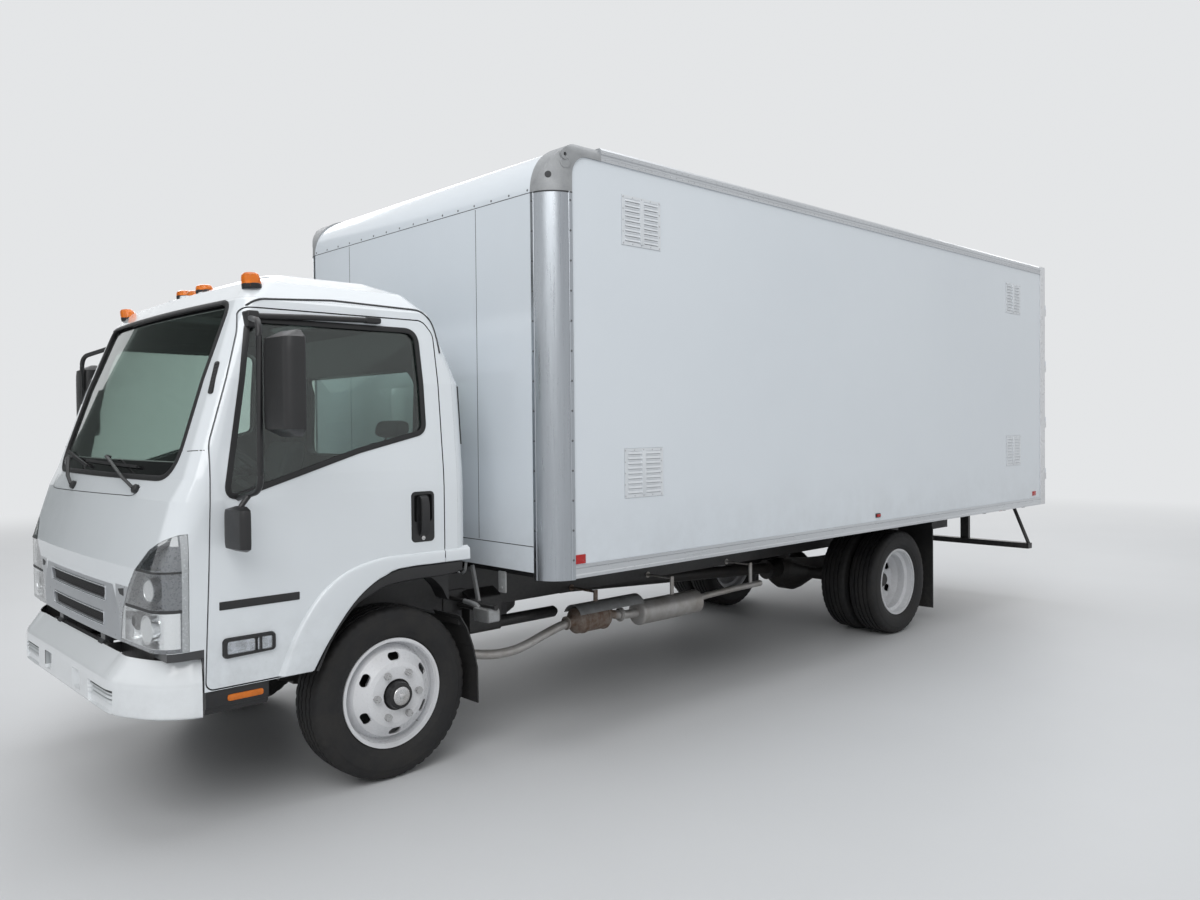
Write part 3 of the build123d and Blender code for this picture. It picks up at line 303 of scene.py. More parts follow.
DUST = (0.2, 0.19, 0.17)
ROAD = (0.1, 0.095, 0.085)
LONG_Z = (1, 1, 0.04)
LONG_Y = (1, 0.04, 1)

# On cab_white the near-black second colour is painted shade; the grey field beside the grille is its own
# colour.
finish("cab_white", (0.77, 0.81, 0.84), 0.16, tint=(0.73, 0.77, 0.8), patches=1.1, share=0.5, spread=0.05,
    grain=(420, 0.00006), waves=(2.2, 0.0012), coat=0.6, grime=(ROAD, 0.45, 0.95, 0.3),
    second=[(cab_inside_shade, (0.03, 0.031, 0.034), 0.6, 0.0), (grille_side, (0.4, 0.42, 0.44), 0.3, 0.45)])
# On bumper_white the dark back, the dark gap over the louvres and the grey lesser gaps are painted shade.
finish("bumper_white", (0.8, 0.83, 0.85), 0.18, tint=(0.75, 0.78, 0.8), patches=1.6, share=0.5,
    spread=0.05, grain=(420, 0.00005), waves=(2.6, 0.001), coat=0.6, grime=(ROAD, 0.42, 0.72, 0.16),
    second=[(bumper_back_shade, (0.05, 0.05, 0.052), 0.6, 0.0), (bumper_gap_shade, (0.1, 0.105, 0.11), 0.5, 0.0),
    (bumper_shade, (0.4, 0.42, 0.43), 0.4, 0.0)])
finish("panel_white", (0.75, 0.8, 0.845), 0.17, tint=(0.7, 0.75, 0.8), patches=0.5, share=0.6,
    spread=0.05, grain=(260, 0.00005), waves=(1.3, 0.004), coat=0.4, grime=(DUST, 0.85, 1.35, 0.16))
finish("frame_white", (0.76, 0.77, 0.79), 0.3, patches=2, grain=(300, 0.0001), grime=(DUST, 0.8, 1.5, 0.25))
finish("post_metal", (0.47, 0.5, 0.53), 0.34, 1.0, tint=(0.33, 0.35, 0.38), patches=9, share=0.8,
    spread=0.12, grain=(700, 0.00012), stretch=LONG_Z, waves=(5, 0.0006))
finish("rail_metal", (0.62, 0.64, 0.66), 0.33, 1.0, tint=(0.45, 0.46, 0.48), patches=9, share=0.7,
    spread=0.1, grain=(700, 0.0001), stretch=LONG_Y)
finish("vent_metal", (0.74, 0.77, 0.8), 0.36, 0.35, patches=12, grain=(500, 0.00008))
finish("casting", (0.36, 0.37, 0.38), 0.52, 0.35, tint=(0.28, 0.29, 0.3), patches=14, share=0.7,
    grain=(240, 0.0006), grime=(DUST, 2.8, 3.1, 0.2))
finish("chassis_black", (0.018, 0.018, 0.02), 0.42, tint=(0.032, 0.03, 0.028), patches=5,
    grain=(180, 0.0004), grime=(ROAD, 0.3, 1.0, 0.45))
finish("axle_black", (0.022, 0.022, 0.023), 0.5, tint=(0.05, 0.042, 0.035), patches=9, grain=(140, 0.0008),
    grime=(ROAD, 0.1, 0.7, 0.6))
finish("engine_iron", (0.1, 0.1, 0.105), 0.5, 0.6, tint=(0.06, 0.055, 0.05), patches=8, grain=(120, 0.001))
finish("flap_black", (0.016, 0.016, 0.017), 0.55, tint=(0.03, 0.029, 0.027), patches=6, grain=(200, 0.0005),
    grime=(ROAD, 0.1, 0.9, 0.35))
finish("trim_black", (0.014, 0.014, 0.015), 0.38, tint=(0.022, 0.022, 0.023), patches=10,
    grain=(900, 0.00022), spread=0.06)
finish("seal_black", (0.01, 0.01, 0.011), 0.5, patches=20, grain=(600, 0.0002))
finish("cab_plastic", (0.045, 0.046, 0.05), 0.6, patches=10, grain=(900, 0.0004))
finish("lamp_grey", (0.24, 0.25, 0.27), 0.3, 0.4, patches=10, grain=(300, 0.00003),
    second=[(lamp_pocket(0.796, 0.937), (0.92, 0.93, 0.94), 0.12, 0.85),
    (lamp_pocket(1.2, 1.238), (0.86, 0.87, 0.88), 0.2, 0.5), (lamp_edge, (0.66, 0.68, 0.7), 0.25, 0.2)])
finish("lamp_silver", (0.72, 0.74, 0.77), 0.16, 0.95, patches=40, grain=(120, 0.0006))
finish("dark_rivet", (0.16, 0.165, 0.17), 0.4, 0.8, patches=40, grain=(600, 0.00005))
finish("grille_silver", (0.4, 0.42, 0.44), 0.3, 0.45, tint=(0.33, 0.34, 0.36), patches=6, spread=0.03)
finish("front_wheel", (0.74, 0.75, 0.77), 0.3, tint=(0.66, 0.66, 0.67), patches=7, share=0.6,
    grain=(260, 0.00012), grime=(ROAD, 0.0, 0.8, 0.12), second=[(hub(AXLE_F, 0.073, 0.932),
    (0.022, 0.022, 0.023), 0.34, 0.3), (nuts(AXLE_F, 0.951), (0.46, 0.46, 0.46), 0.3, 0.6)])
finish("rear_wheel", (0.7, 0.71, 0.73), 0.34, tint=(0.6, 0.6, 0.61), patches=7, share=0.6,
    grain=(260, 0.00012), grime=(ROAD, 0.0, 0.8, 0.22), second=[(hub(AXLE_R, 0.074, 0.8),
    (0.05, 0.049, 0.048), 0.4, 0.6), (nuts(AXLE_R, 0.8365), (0.34, 0.34, 0.34), 0.35, 0.6)])
finish("primer_grey", (0.4, 0.41, 0.42), 0.42, 0.25, tint=(0.28, 0.28, 0.27), patches=18, share=0.8,
    grain=(300, 0.0001), grime=(ROAD, 0.4, 1.1, 0.3))
finish("reflector", (0.93, 0.94, 0.95), 0.12, 0.5, patches=10, spread=0.02)
finish("rivet", (0.6, 0.61, 0.63), 0.32, 0.9, tint=(0.45, 0.46, 0.47), patches=40, grain=(600, 0.00005))
finish("groove", (0.035, 0.036, 0.038), 0.6, patches=20, grain=(600, 0.0001))
finish("belt_cloth", (0.03, 0.03, 0.033), 0.8, patches=60, grain=(1400, 0.0004))
finish("bright_steel", (0.62, 0.62, 0.63), 0.26, 1.0, tint=(0.45, 0.43, 0.4), patches=10, share=0.8,
    spread=0.1, grain=(400, 0.00015))
finish("floor_wood", (0.36, 0.22, 0.12), 0.5, tint=(0.22, 0.13, 0.07), patches=14, share=0.9,
    grain=(220, 0.0004), stretch=LONG_Y, second=[(floor_underside, (0.03, 0.03, 0.032), 0.6, 0.0)])
finish("seat_cloth", (0.06, 0.062, 0.07), 0.9, tint=(0.04, 0.042, 0.05), patches=30, grain=(900, 0.0006))


def exhaust_look():
    """Bright steel that is rusty over the canister and heat-stained on the pipe."""
    t = Tree("exhaust_look")
    y = t.axis("Y")
    spots = t.noise(26, 8, 0.7)
    broad = t.noise(7, 4, 0.6)
    rust = t.mix(t.ramp(spots, 0.4, 0.65), (0.15, 0.095, 0.065), (0.27, 0.23, 0.2))
    steel = t.mix(t.ramp(broad, 0.35, 0.7), (0.5, 0.49, 0.48), (0.33, 0.3, 0.27))
    near = t.both(t.ramp(y, -1.49, -1.45), t.ramp(y, -1.04, -1.08))
    mask = t.math("MULTIPLY", near, t.ramp(broad, 0.1, 0.5, 0.55, 1.0), clamp=True)
    t.put("Base Color", t.mix(mask, steel, rust))
    t.put("Metallic", t.ramp(mask, 0, 1, 0.35, 0.15))
    t.put("Roughness", t.math("ADD", t.ramp(mask, 0, 1, 0.4, 0.62), t.ramp(spots, 0.3, 0.7, -0.06, 0.1),
        clamp=True))
    t.put("Normal", t.bump(spots, 0.0001))
    return t.mat


def tyre_look():
    t = Tree("tyre_look")
    fine = t.noise(300, 4, 0.7)
    broad = t.noise(9, 5, 0.6)
    t.put("Base Color", t.mix(t.ramp(broad, 0.4, 0.7, 0.0, 0.7), (0.014, 0.014, 0.015),
        (0.034, 0.032, 0.03)))
    t.put("Roughness", t.ramp(broad, 0.3, 0.7, 0.58, 0.78))
    t.put("Specular IOR Level", 0.35)
    t.put("Normal", t.bump(fine, 0.0005))
    return t.mat


def glass_look(name, tint, frit=None):
    """Tinted glass; frit is a mask function for the black printed border."""
    t = Tree(name)
    t.put("Base Color", tint)
    t.put("Roughness", 0.02)
    t.put("IOR", 1.45)
    t.put("Transmission Weight", 1.0)
    t.put("Coat Weight", 0.3)
    t.put("Normal", t.bump(t.noise(1.6, 2, 0.4), 0.0008))
    if frit:
        mask = frit(t)
        t.put("Base Color", t.mix(mask, tint, (0.008, 0.008, 0.009)))
        t.put("Transmission Weight", t.ramp(mask, 0, 1, 1.0, 0.0))
    return t.mat


def lens_look(name, colour, glow=0.0, transmission=0.75):
    """Moulded lens plastic with fine prism ribs inside."""
    t = Tree(name)
    t.put("Base Color", t.mix(t.ramp(t.noise(30, 3), 0.4, 0.7), colour, tuple(c * 0.75 for c in colour)))
    t.put("Roughness", 0.08)
    t.put("Transmission Weight", transmission)
    t.put("IOR", 1.49)
    # The faint glow is painted light; these looks also dress reflectors that are no lamps.
    if glow:
        t.put("Emission Color", colour)
        t.put("Emission Strength", glow)
    ribs = t.new("TexWave", wave_type="BANDS", bands_direction="DIAGONAL")
    t.wire(t.coord, ribs.inputs["Vector"])
    ribs.inputs["Scale"].default_value = 60
    t.put("Normal", t.bump(ribs.outputs["Fac"], 0.0006, 0.6))
    return t.mat


MAT["exhaust"] = exhaust_look()
MAT["tyre"] = tyre_look()
MAT["glass"] = glass_look("glass", (0.6, 0.7, 0.66))
MAT["cab_glass"] = glass_look("cab_glass", (0.6, 0.71, 0.66), screen_border)
MAT["lamp_cover"] = glass_look("lamp_cover", (0.97, 0.98, 0.98))
finish("mirror_glass", (0.78, 0.8, 0.82), 0.03, 1.0, patches=4, spread=0.01, grain=(200, 0.00001))
# amber and red glow faintly: painted light, also on the reflectors.
MAT["amber"] = lens_look("amber", (0.95, 0.24, 0.015), 0.05, 0.35)
MAT["red"] = lens_look("red", (0.6, 0.01, 0.01), 0.03, 0.3)
MAT["clear"] = lens_look("clear", (0.92, 0.94, 0.96), 0.0, 0.9)

LOOKS = {
    "cab_white": ["cab_shell", "cab_roof", "cab_back_panel", "door_left", "door_right", "bumper"],
    "panel_white": ["box_front_wall", "box_nose_cap", "box_side_left", "box_side_right", "box_roof",
                    "cargo_door_left", "cargo_door_right"],
    "frame_white": ["rear_frame"],
    "post_metal": ["corner_posts"],
    "rail_metal": ["top_rails", "bottom_rails"],
    "vent_metal": ["side_vents"],
    "casting": ["corner_castings"],
    "chassis_black": ["chassis_frame", "fuel_tank", "battery_box", "underride_guard"],
    "axle_black": ["front_axle", "rear_axle", "leaf_springs", "drive_shaft", "knuckle_left", "knuckle_right",
                   "tie_rod"],
    "engine_iron": ["engine_block"],
    "exhaust": ["exhaust"],
    "flap_black": ["mud_flaps"],
    "red": ["tail_lamps"],
    "amber": ["roof_lamps"],
    "floor_wood": ["box_floor"],
    "glass": ["door_glass_left", "door_glass_right"],
    "cab_glass": ["cab_glass"],
    "lamp_grey": ["headlamps"],
    "grille_silver": ["grille"],
    "cab_plastic": ["dashboard", "steering_wheel"],
    "seat_cloth": ["seats"],
    "trim_black": ["mirror_left", "mirror_right", "cab_mouldings", "door_fittings_left",
                   "door_fittings_right"],
    "lamp_cover": ["headlamp_lenses"],
    "tyre": ["front_tyre_left", "front_tyre_right", "rear_tyres_left", "rear_tyres_right"],
    "front_wheel": ["front_wheel_left", "front_wheel_right"],
    "rear_wheel": ["rear_wheels_left", "rear_wheels_right"],
}
for look, names in LOOKS.items():
    for n in names:
        data = nodes[n].data
        data.materials.clear()
        data.materials.append(MAT[look])


# Pieces that stand on the CAD solids

class Skin:
    """The surface of some CAD nodes, to set small pieces on."""

    def __init__(self, *names):
        points, faces = [], []
        for n in names:
            base = len(points)
            points += [v.co.copy() for v in nodes[n].data.vertices]
            faces += [[base + i for i in p.vertices] for p in nodes[n].data.polygons]
        self.tree = BVHTree.FromPolygons(points, faces)

    def hit(self, start, direction):
        """Where a ray meets the surface first, and the way that the surface faces there."""
        direction = Vector(direction)
        at, normal, _, _ = self.tree.ray_cast(Vector(start), direction)
        if at is None:
            return None
        return at, (-normal if normal.dot(direction) > 0 else normal)

    def front(self, x, z):
        return self.hit((x, -6, z), (0, 1, 0))

    def back(self, x, z, y=6):
        return self.hit((x, y, z), (0, -1, 0))

    def side(self, s, y, z):
        return self.hit((3 * s, y, z), (-s, 0, 0))

    def top(self, x, y):
        return self.hit((x, y, 5), (0, 0, -1))


def arc_points(points, radii, closed=True, steps=6):
    """A 2D outline with rounded corners, of one radius or each of its own."""
    out = []
    n = len(points)
    radii = radii if hasattr(radii, "__len__") else [radii] * n
    for i, p in enumerate(points):
        p = Vector(p)
        if not closed and i in (0, n - 1) or not radii[i]:
            out.append(p)
            continue
        a, b = Vector(points[i - 1]) - p, Vector(points[(i + 1) % n]) - p
        half = a.angle(b) / 2
        reach = min(radii[i] / math.tan(half), a.length * 0.48, b.length * 0.48)
        start, end = p + a.normalized() * reach, p + b.normalized() * reach
        for k in range(steps + 1):
            t = k / steps
            out.append(start * (1 - t) ** 2 + p * 2 * t * (1 - t) + end * t * t)
    return out


def smooth(points, steps=6):
    """A smooth open line through points of any one length."""
    knots = [Vector(p) for p in points]
    knots = [knots[0] * 2 - knots[1], *knots, knots[-1] * 2 - knots[-2]]
    out = []
    for a, b, c, d in zip(knots, knots[1:], knots[2:], knots[3:]):
        for k in range(steps):
            t = k / steps
            out.append((b * 2 + (c - a) * t + (a * 2 - b * 5 + c * 4 - d) * t ** 2 + (b * 3 - a - c * 3 + d)
                * t ** 3) * 0.5)
    return out + [knots[-2]]


def grown(outline, by):
    """A closed 2D outline moved outwards."""
    area = sum(a.x * b.y - b.x * a.y for a, b in zip(outline, outline[1:] + outline[:1]))
    out = []
    for i, p in enumerate(outline):
        along = (outline[(i + 1) % len(outline)] - outline[i - 1]).normalized()
        out.append(p + Vector((along.y, -along.x)) * (by if area > 0 else -by))
    return out


def spread(points, gap, closed=True):
    """The outline again, with points at most a gap apart."""
    out = []
    ends = points[1:] + points[:1] if closed else points[1:]
    for a, b in zip(points, ends):
        count = max(1, round((b - a).length / gap))
        out += [a.lerp(b, k / count) for k in range(count)]
    return out if closed else out + [points[-1]]


def flat(half, low, high):
    """The section of a band: its half width, its underside and its top."""
    return [(-half, low), (-half, high), (half, high), (half, low)]


class Piece:
    """A mesh of simple closed forms in the row frame, joined to one object that rides on a body."""

    def __init__(self):
        self.points, self.faces = [], []

    def add(self, points, faces):
        base = len(self.points)
        self.points += [Vector(p) for p in points]
        self.faces += [tuple(base + i for i in f) for f in faces]

    def loft(self, rings, closed=False):
        """Skins rings of equally many points, with end caps, or round to the first ring again."""
        n = len(rings[0])
        faces = []
        for i in range(len(rings) if closed else len(rings) - 1):
            a, b = i * n, (i + 1) % len(rings) * n
            faces += [(a + j, a + (j + 1) % n, b + (j + 1) % n, b + j) for j in range(n)]
        if not closed:
            faces.append(tuple(reversed(range(n))))
            faces.append(tuple((len(rings) - 1) * n + j for j in range(n)))
        self.add([p for ring in rings for p in ring], faces)

    def lathe(self, at, axis, profile, steps=16, turn=0.0):
        """Turns (along, radius) pairs about an axis through a point."""
        at, axis = Vector(at), Vector(axis).normalized()
        u = axis.orthogonal().normalized()
        v = axis.cross(u)
        angles = [math.tau * (k / steps) + turn for k in range(steps)]
        self.loft([[at + axis * a + (u * math.cos(t) + v * math.sin(t)) * r for t in angles] for a,
            r in profile])

    def strip(self, path, ups, section, closed=False):
        """Sweeps a section of (across, height) pairs along points with their outward directions."""
        rings = []
        n = len(path)
        for i in range(n):
            before = path[i - 1] if closed or i else path[i]
            after = path[(i + 1) % n] if closed or i < n - 1 else path[i]
            along = (after - before).normalized()
            across = along.cross(ups[i]).normalized()
            out = across.cross(along)
            rings.append([path[i] + across * a + out * h for a, h in section])
        self.loft(rings, closed)

    def seal(self, hits, width, height, closed=True, sink=0.003):
        """A soft-edged strip that lies on a surface along the points of rays that met it."""
        w = width / 2
        section = [(-w, -sink), (-w * 0.92, height * 0.65), (-w * 0.4, height), (w * 0.4, height),
            (w * 0.92, height * 0.65), (w, -sink)]
        self.strip([h[0] for h in hits], [h[1] for h in hits], section, closed)

    def tube(self, path, radius, sides=10, closed=False, flat=1.0):
        path = [Vector(p) for p in path]
        up = Vector((0, 0, 1)) if abs((path[1] - path[0]).normalized().z) < 0.9 else Vector((1, 0, 0))
        angles = [math.tau * k / sides for k in range(sides)]
        section = [(math.cos(t) * radius, math.sin(t) * radius * flat) for t in angles]
        self.strip(path, [up] * len(path), section, closed)

    def plate(self, at, along, out, size, thick, radius=0.004, sink=0.002, edge=0.001):
        """A plate with rounded corners and a softened edge, its long side along a direction."""
        at, out = Vector(at), Vector(out).normalized()
        side = out.cross(Vector(along)).normalized()
        along = side.cross(out)
        rings = []
        for inset, height in ((0, -sink), (0, thick - edge), (edge * 0.3, thick - edge * 0.3),
                (edge, thick)):
            w, h = size[0] / 2 - inset, size[1] / 2 - inset
            corners = arc_points([(-w, -h), (w, -h), (w, h), (-w, h)], [max(radius - inset, 0.0004)] * 4,
                steps=3)
            rings.append([at + along * p[0] + side * p[1] + out * height for p in corners])
        self.loft(rings)

    def rivet(self, found, r=0.006):
        """A rivet head where a ray met a surface, and none where it met nothing."""
        if found:
            self.lathe(*found, [(-0.001, r), (r * 0.28, r * 0.88), (r * 0.5, r * 0.4)], 8)

    def bolt(self, at, out, across, high):
        """A hexagon head on its washer."""
        self.lathe(at, out, [(-0.001, across * 1.5), (0.0018, across * 1.5)], 14)
        self.lathe(at, out, [(0.001, across), (high * 0.85, across), (high, across * 0.82)], 6)

    def made(self, name, look, body, angle=38):
        mesh = bpy.data.meshes.new(name)
        mesh.from_pydata(self.points, [], self.faces)
        bm = bmesh.new()
        bm.from_mesh(mesh)
        bmesh.ops.recalc_face_normals(bm, faces=bm.faces)
        bm.to_mesh(mesh)
        bm.free()
        mesh.materials.append(MAT[look])
        mesh.shade_smooth()
        mesh.set_sharp_from_angle(angle=math.radians(angle))
        thing = bpy.data.objects.new(name, mesh)
        bpy.context.scene.collection.objects.link(thing)
        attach(thing, body)
        return thing


cab_skin = Skin("cab_shell", "cab_roof", "cab_glass")
SIDES = ((1, "left"), (-1, "right"))


# Half a tyre's section with its grooves: offset from the middle and radius, from bead to crown
TYRE_HALF = [(0.082, 0.247), (0.0835, 0.259), (0.092, 0.264), (0.099, 0.275), (0.106, 0.292),
    (0.1085, 0.296), (0.1085, 0.301), (0.1095, 0.304), (0.1125, 0.322), (0.113, 0.338), (0.112, 0.353),
    (0.112, 0.358), (0.11, 0.36), (0.109, 0.37), (0.106, 0.379), (0.1035, 0.389), (0.0965, 0.3965),
    (0.09, 0.4), (0.078, 0.403), (0.059, 0.4045), (0.0575, 0.394), (0.0485, 0.394),
    (0.047, 0.405), (0.0255, 0.406), (0.024, 0.3945), (0.015, 0.3945), (0.0135, 0.4063)]
SHOULDER = (0.109, 0.106, 0.1035, 0.0965, 0.09)
LUG_SLOT = 0.006
RIB_SLOT = 0.0035
TREAD_STEPS = 180


def tyre(name, centres, axle_y, body, node):
    """A tyre, or a twin pair: ribs, grooves between them and blocks round the shoulders."""
    piece = Piece()
    section = TYRE_HALF + [(-x, r) for x, r in reversed(TYRE_HALF)]
    for centre in centres:
        rings = []
        for k in range(TREAD_STEPS):
            turn = math.tau * k / TREAD_STEPS
            ring = []
            for x, r in section:
                near = abs(x)
                if near in SHOULDER and k % 4 == 0:
                    r -= LUG_SLOT
                elif k % 4 == (2 if x > 0 else 0) and near in (0.059, 0.047, 0.0255, 0.0135):
                    r -= RIB_SLOT
                ring.append(Vector((centre + x, axle_y + r * math.cos(turn), TYRE_R + r * math.sin(turn))))
            rings.append(ring)
        piece.loft(rings, closed=True)
    thing = piece.made(name, "tyre", body, 50)
    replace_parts(thing, node)


def wheels():
    for s, side in SIDES:
        tyre(f"front_tread_{side}", [s * 0.822], AXLE_F, f"wheel_front_{side}", f"front_tyre_{side}")
        tyre(f"rear_treads_{side}", [s * 0.6985, s * 0.9525], AXLE_R, f"wheels_rear_{side}",
            f"rear_tyres_{side}")
        cap = Piece()
        cap.lathe((s * 0.989, AXLE_F, TYRE_R), (s, 0, 0), [(-0.002, 0.043), (0.003, 0.043), (0.006, 0.04),
            (0.007, 0.034)], 40)
        cap.lathe((s * 0.989, AXLE_F, TYRE_R), (s, 0, 0), [(0.004, 0.014), (0.01, 0.014), (0.012, 0.011)],
            6)
        cap.made(f"hub_cap_{side}", "bright_steel", f"wheel_front_{side}")
        hub = Skin(f"front_wheel_{side}")
        valve = Piece()
        found = hub.hit((s * 1.2, AXLE_F + 0.15, TYRE_R - 0.168), (-s, 0, 0))
        if found:
            at = found[0]
            valve.tube([at - Vector((s * 0.004, 0, 0)), at + Vector((s * 0.012, 0.002, -0.002)),
                at + Vector((s * 0.026, 0.012, -0.012))], 0.0035, 8)
        valve.made(f"valve_{side}", "bright_steel", f"wheel_front_{side}")


wheels()


# The cab's glass, seals and joints
SCREEN = [(-0.835, 1.462), (0.835, 1.462), (0.785, 2.205), (-0.785, 2.205)]
WINDOW = [(-3.606, 1.375), (-3.004, 1.561), (-2.657, 1.642), (-2.657, 2.118), (-3.468, 2.118)]
REAR_WINDOW = [(-0.62, 1.5), (0.62, 1.5), (0.6, 1.96), (-0.6, 1.96)]


def found_only(hits):
    return [h for h in hits if h]


def rim_hits(cast, outline, spare):
    """Rays on the frame round a pane; its surface is carried on inwards to the pane's edge."""
    found = []
    inner, outer = 0.014, 0.02
    carry = 0.01 / (outer - inner)
    for near, far, edge in zip(grown(outline, inner), grown(outline, outer), outline):
        a, b = cast(*near), cast(*far)
        if a and b and (a[0] - b[0]).length < 0.02:
            found.append((a[0] + (a[0] - b[0]) * carry, a[1]))
        else:
            found.append(spare(*edge))
    return found_only(found)


def seals():
    shell = Skin("cab_shell", "cab_roof")
    outline = spread(arc_points(SCREEN, [0.13, 0.13, 0.07, 0.07], steps=10), 0.04)
    rim = Piece()
    rim.seal(rim_hits(shell.front, outline, cab_skin.front), 0.026, 0.005)
    rim.made("screen_seal", "seal_black", "cab")
    outline = spread(arc_points(REAR_WINDOW, 0.06), 0.04)
    panel = Skin("cab_back_panel")
    rim = Piece()
    rim.seal(rim_hits(lambda x, z: panel.back(x, z, -2.2), outline, lambda x, z: panel.back(x, z, -2.2)),
        0.024, 0.005)
    rim.made("rear_window_seal", "seal_black", "cab")
    for s, side in SIDES:
        door = Skin(f"door_{side}")
        both = Skin(f"door_{side}", f"door_glass_{side}")
        outline = spread(arc_points(WINDOW, [0.04, 0.6, 0.05, 0.06, 0.05], steps=8), 0.03)
        rim = Piece()
        rim.seal(rim_hits(lambda y, z: door.side(s, y, z), outline, lambda y, z: both.side(s, y, z)), 0.026,
            0.004)
        rim.made(f"door_window_seal_{side}", "seal_black", f"cab_door_{side}")


COWL_LINE = [(-0.8, 1.43), (-0.785, 1.385), (-0.74, 1.364), (-0.551, 1.364), (-0.282, 1.368),
    (0.124, 1.374), (0.385, 1.378), (0.505, 1.38), (0.55, 1.393), (0.567, 1.42)]


def joint_lines():
    """Dark joints between panels, laid on the surface."""
    lines = Piece()
    pts = spread(smooth(COWL_LINE, 5), 0.05, closed=False)
    lines.seal(found_only([cab_skin.front(*p) for p in pts]), 0.004, 0.0004, closed=False)
    for s, _ in SIDES:
        pts = spread([Vector((0.885 * s, 1.572)), Vector((0.968 * s, 1.576))], 0.01, closed=False)
        lines.seal(found_only([cab_skin.front(*p) for p in pts]), 0.004, 0.0004, closed=False)
    lines.made("cab_joints", "groove", "cab")
    drip = Piece()
    shell = Skin("cab_shell", "cab_roof")
    for s, side in SIDES:
        pts = arc_points([(-3.52, 2.135), (-3.43, 2.212), (-3.07, 2.236), (-2.62, 2.226), (-2.535, 2.17),
            (-2.528, 2.02)], [0, 0.12, 0.5, 0.08, 0.08, 0], closed=False, steps=6)
        pts = spread(pts, 0.04, closed=False)
        drip.seal(found_only([shell.side(s, *p) for p in pts]), 0.009, 0.005, closed=False)
    drip.made("roof_drips", "groove", "cab")


def wipers():
    arms = Piece()
    blades = Piece()
    for pivot, end, tip_a, tip_b in (((0.545, 1.407), (0.108, 1.53), (0.47, 1.497), (-0.26, 1.51)),
            ((-0.33, 1.392), (-0.56, 1.512), (-0.22, 1.484), (-0.735, 1.548))):
        at, out = cab_skin.front(*pivot)
        arms.lathe(at, out, [(-0.004, 0.021), (0.014, 0.02), (0.02, 0.014), (0.022, 0.006)], 18)
        tip, tip_out = cab_skin.front(*end)
        a, b = at + out * 0.018, tip + tip_out * 0.036
        arms.tube([a, a.lerp(b, 0.28) + out * 0.012, a.lerp(b, 0.6) + out * 0.008, b], 0.009, 8, flat=0.55)
        arms.tube([b - tip_out * 0.02, b + tip_out * 0.002], 0.008, 8)
        hits = [cab_skin.front(tip_a[0] + (tip_b[0] - tip_a[0]) * k / 12,
            tip_a[1] + (tip_b[1] - tip_a[1]) * k / 12) for k in range(13)]
        path = [h[0] + h[1] * 0.013 for h in hits]
        blades.strip(path, [h[1] for h in hits], [(-0.007, 0), (-0.006, 0.006), (0.006, 0.006), (0.007, 0),
            (0.0012, -0.003), (0.0008, -0.0125), (-0.0008, -0.0125), (-0.0012, -0.003)])
    arms.made("wiper_arms", "trim_black", "cab")
    blades.made("wiper_blades", "seal_black", "cab")


seals()
joint_lines()
wipers()


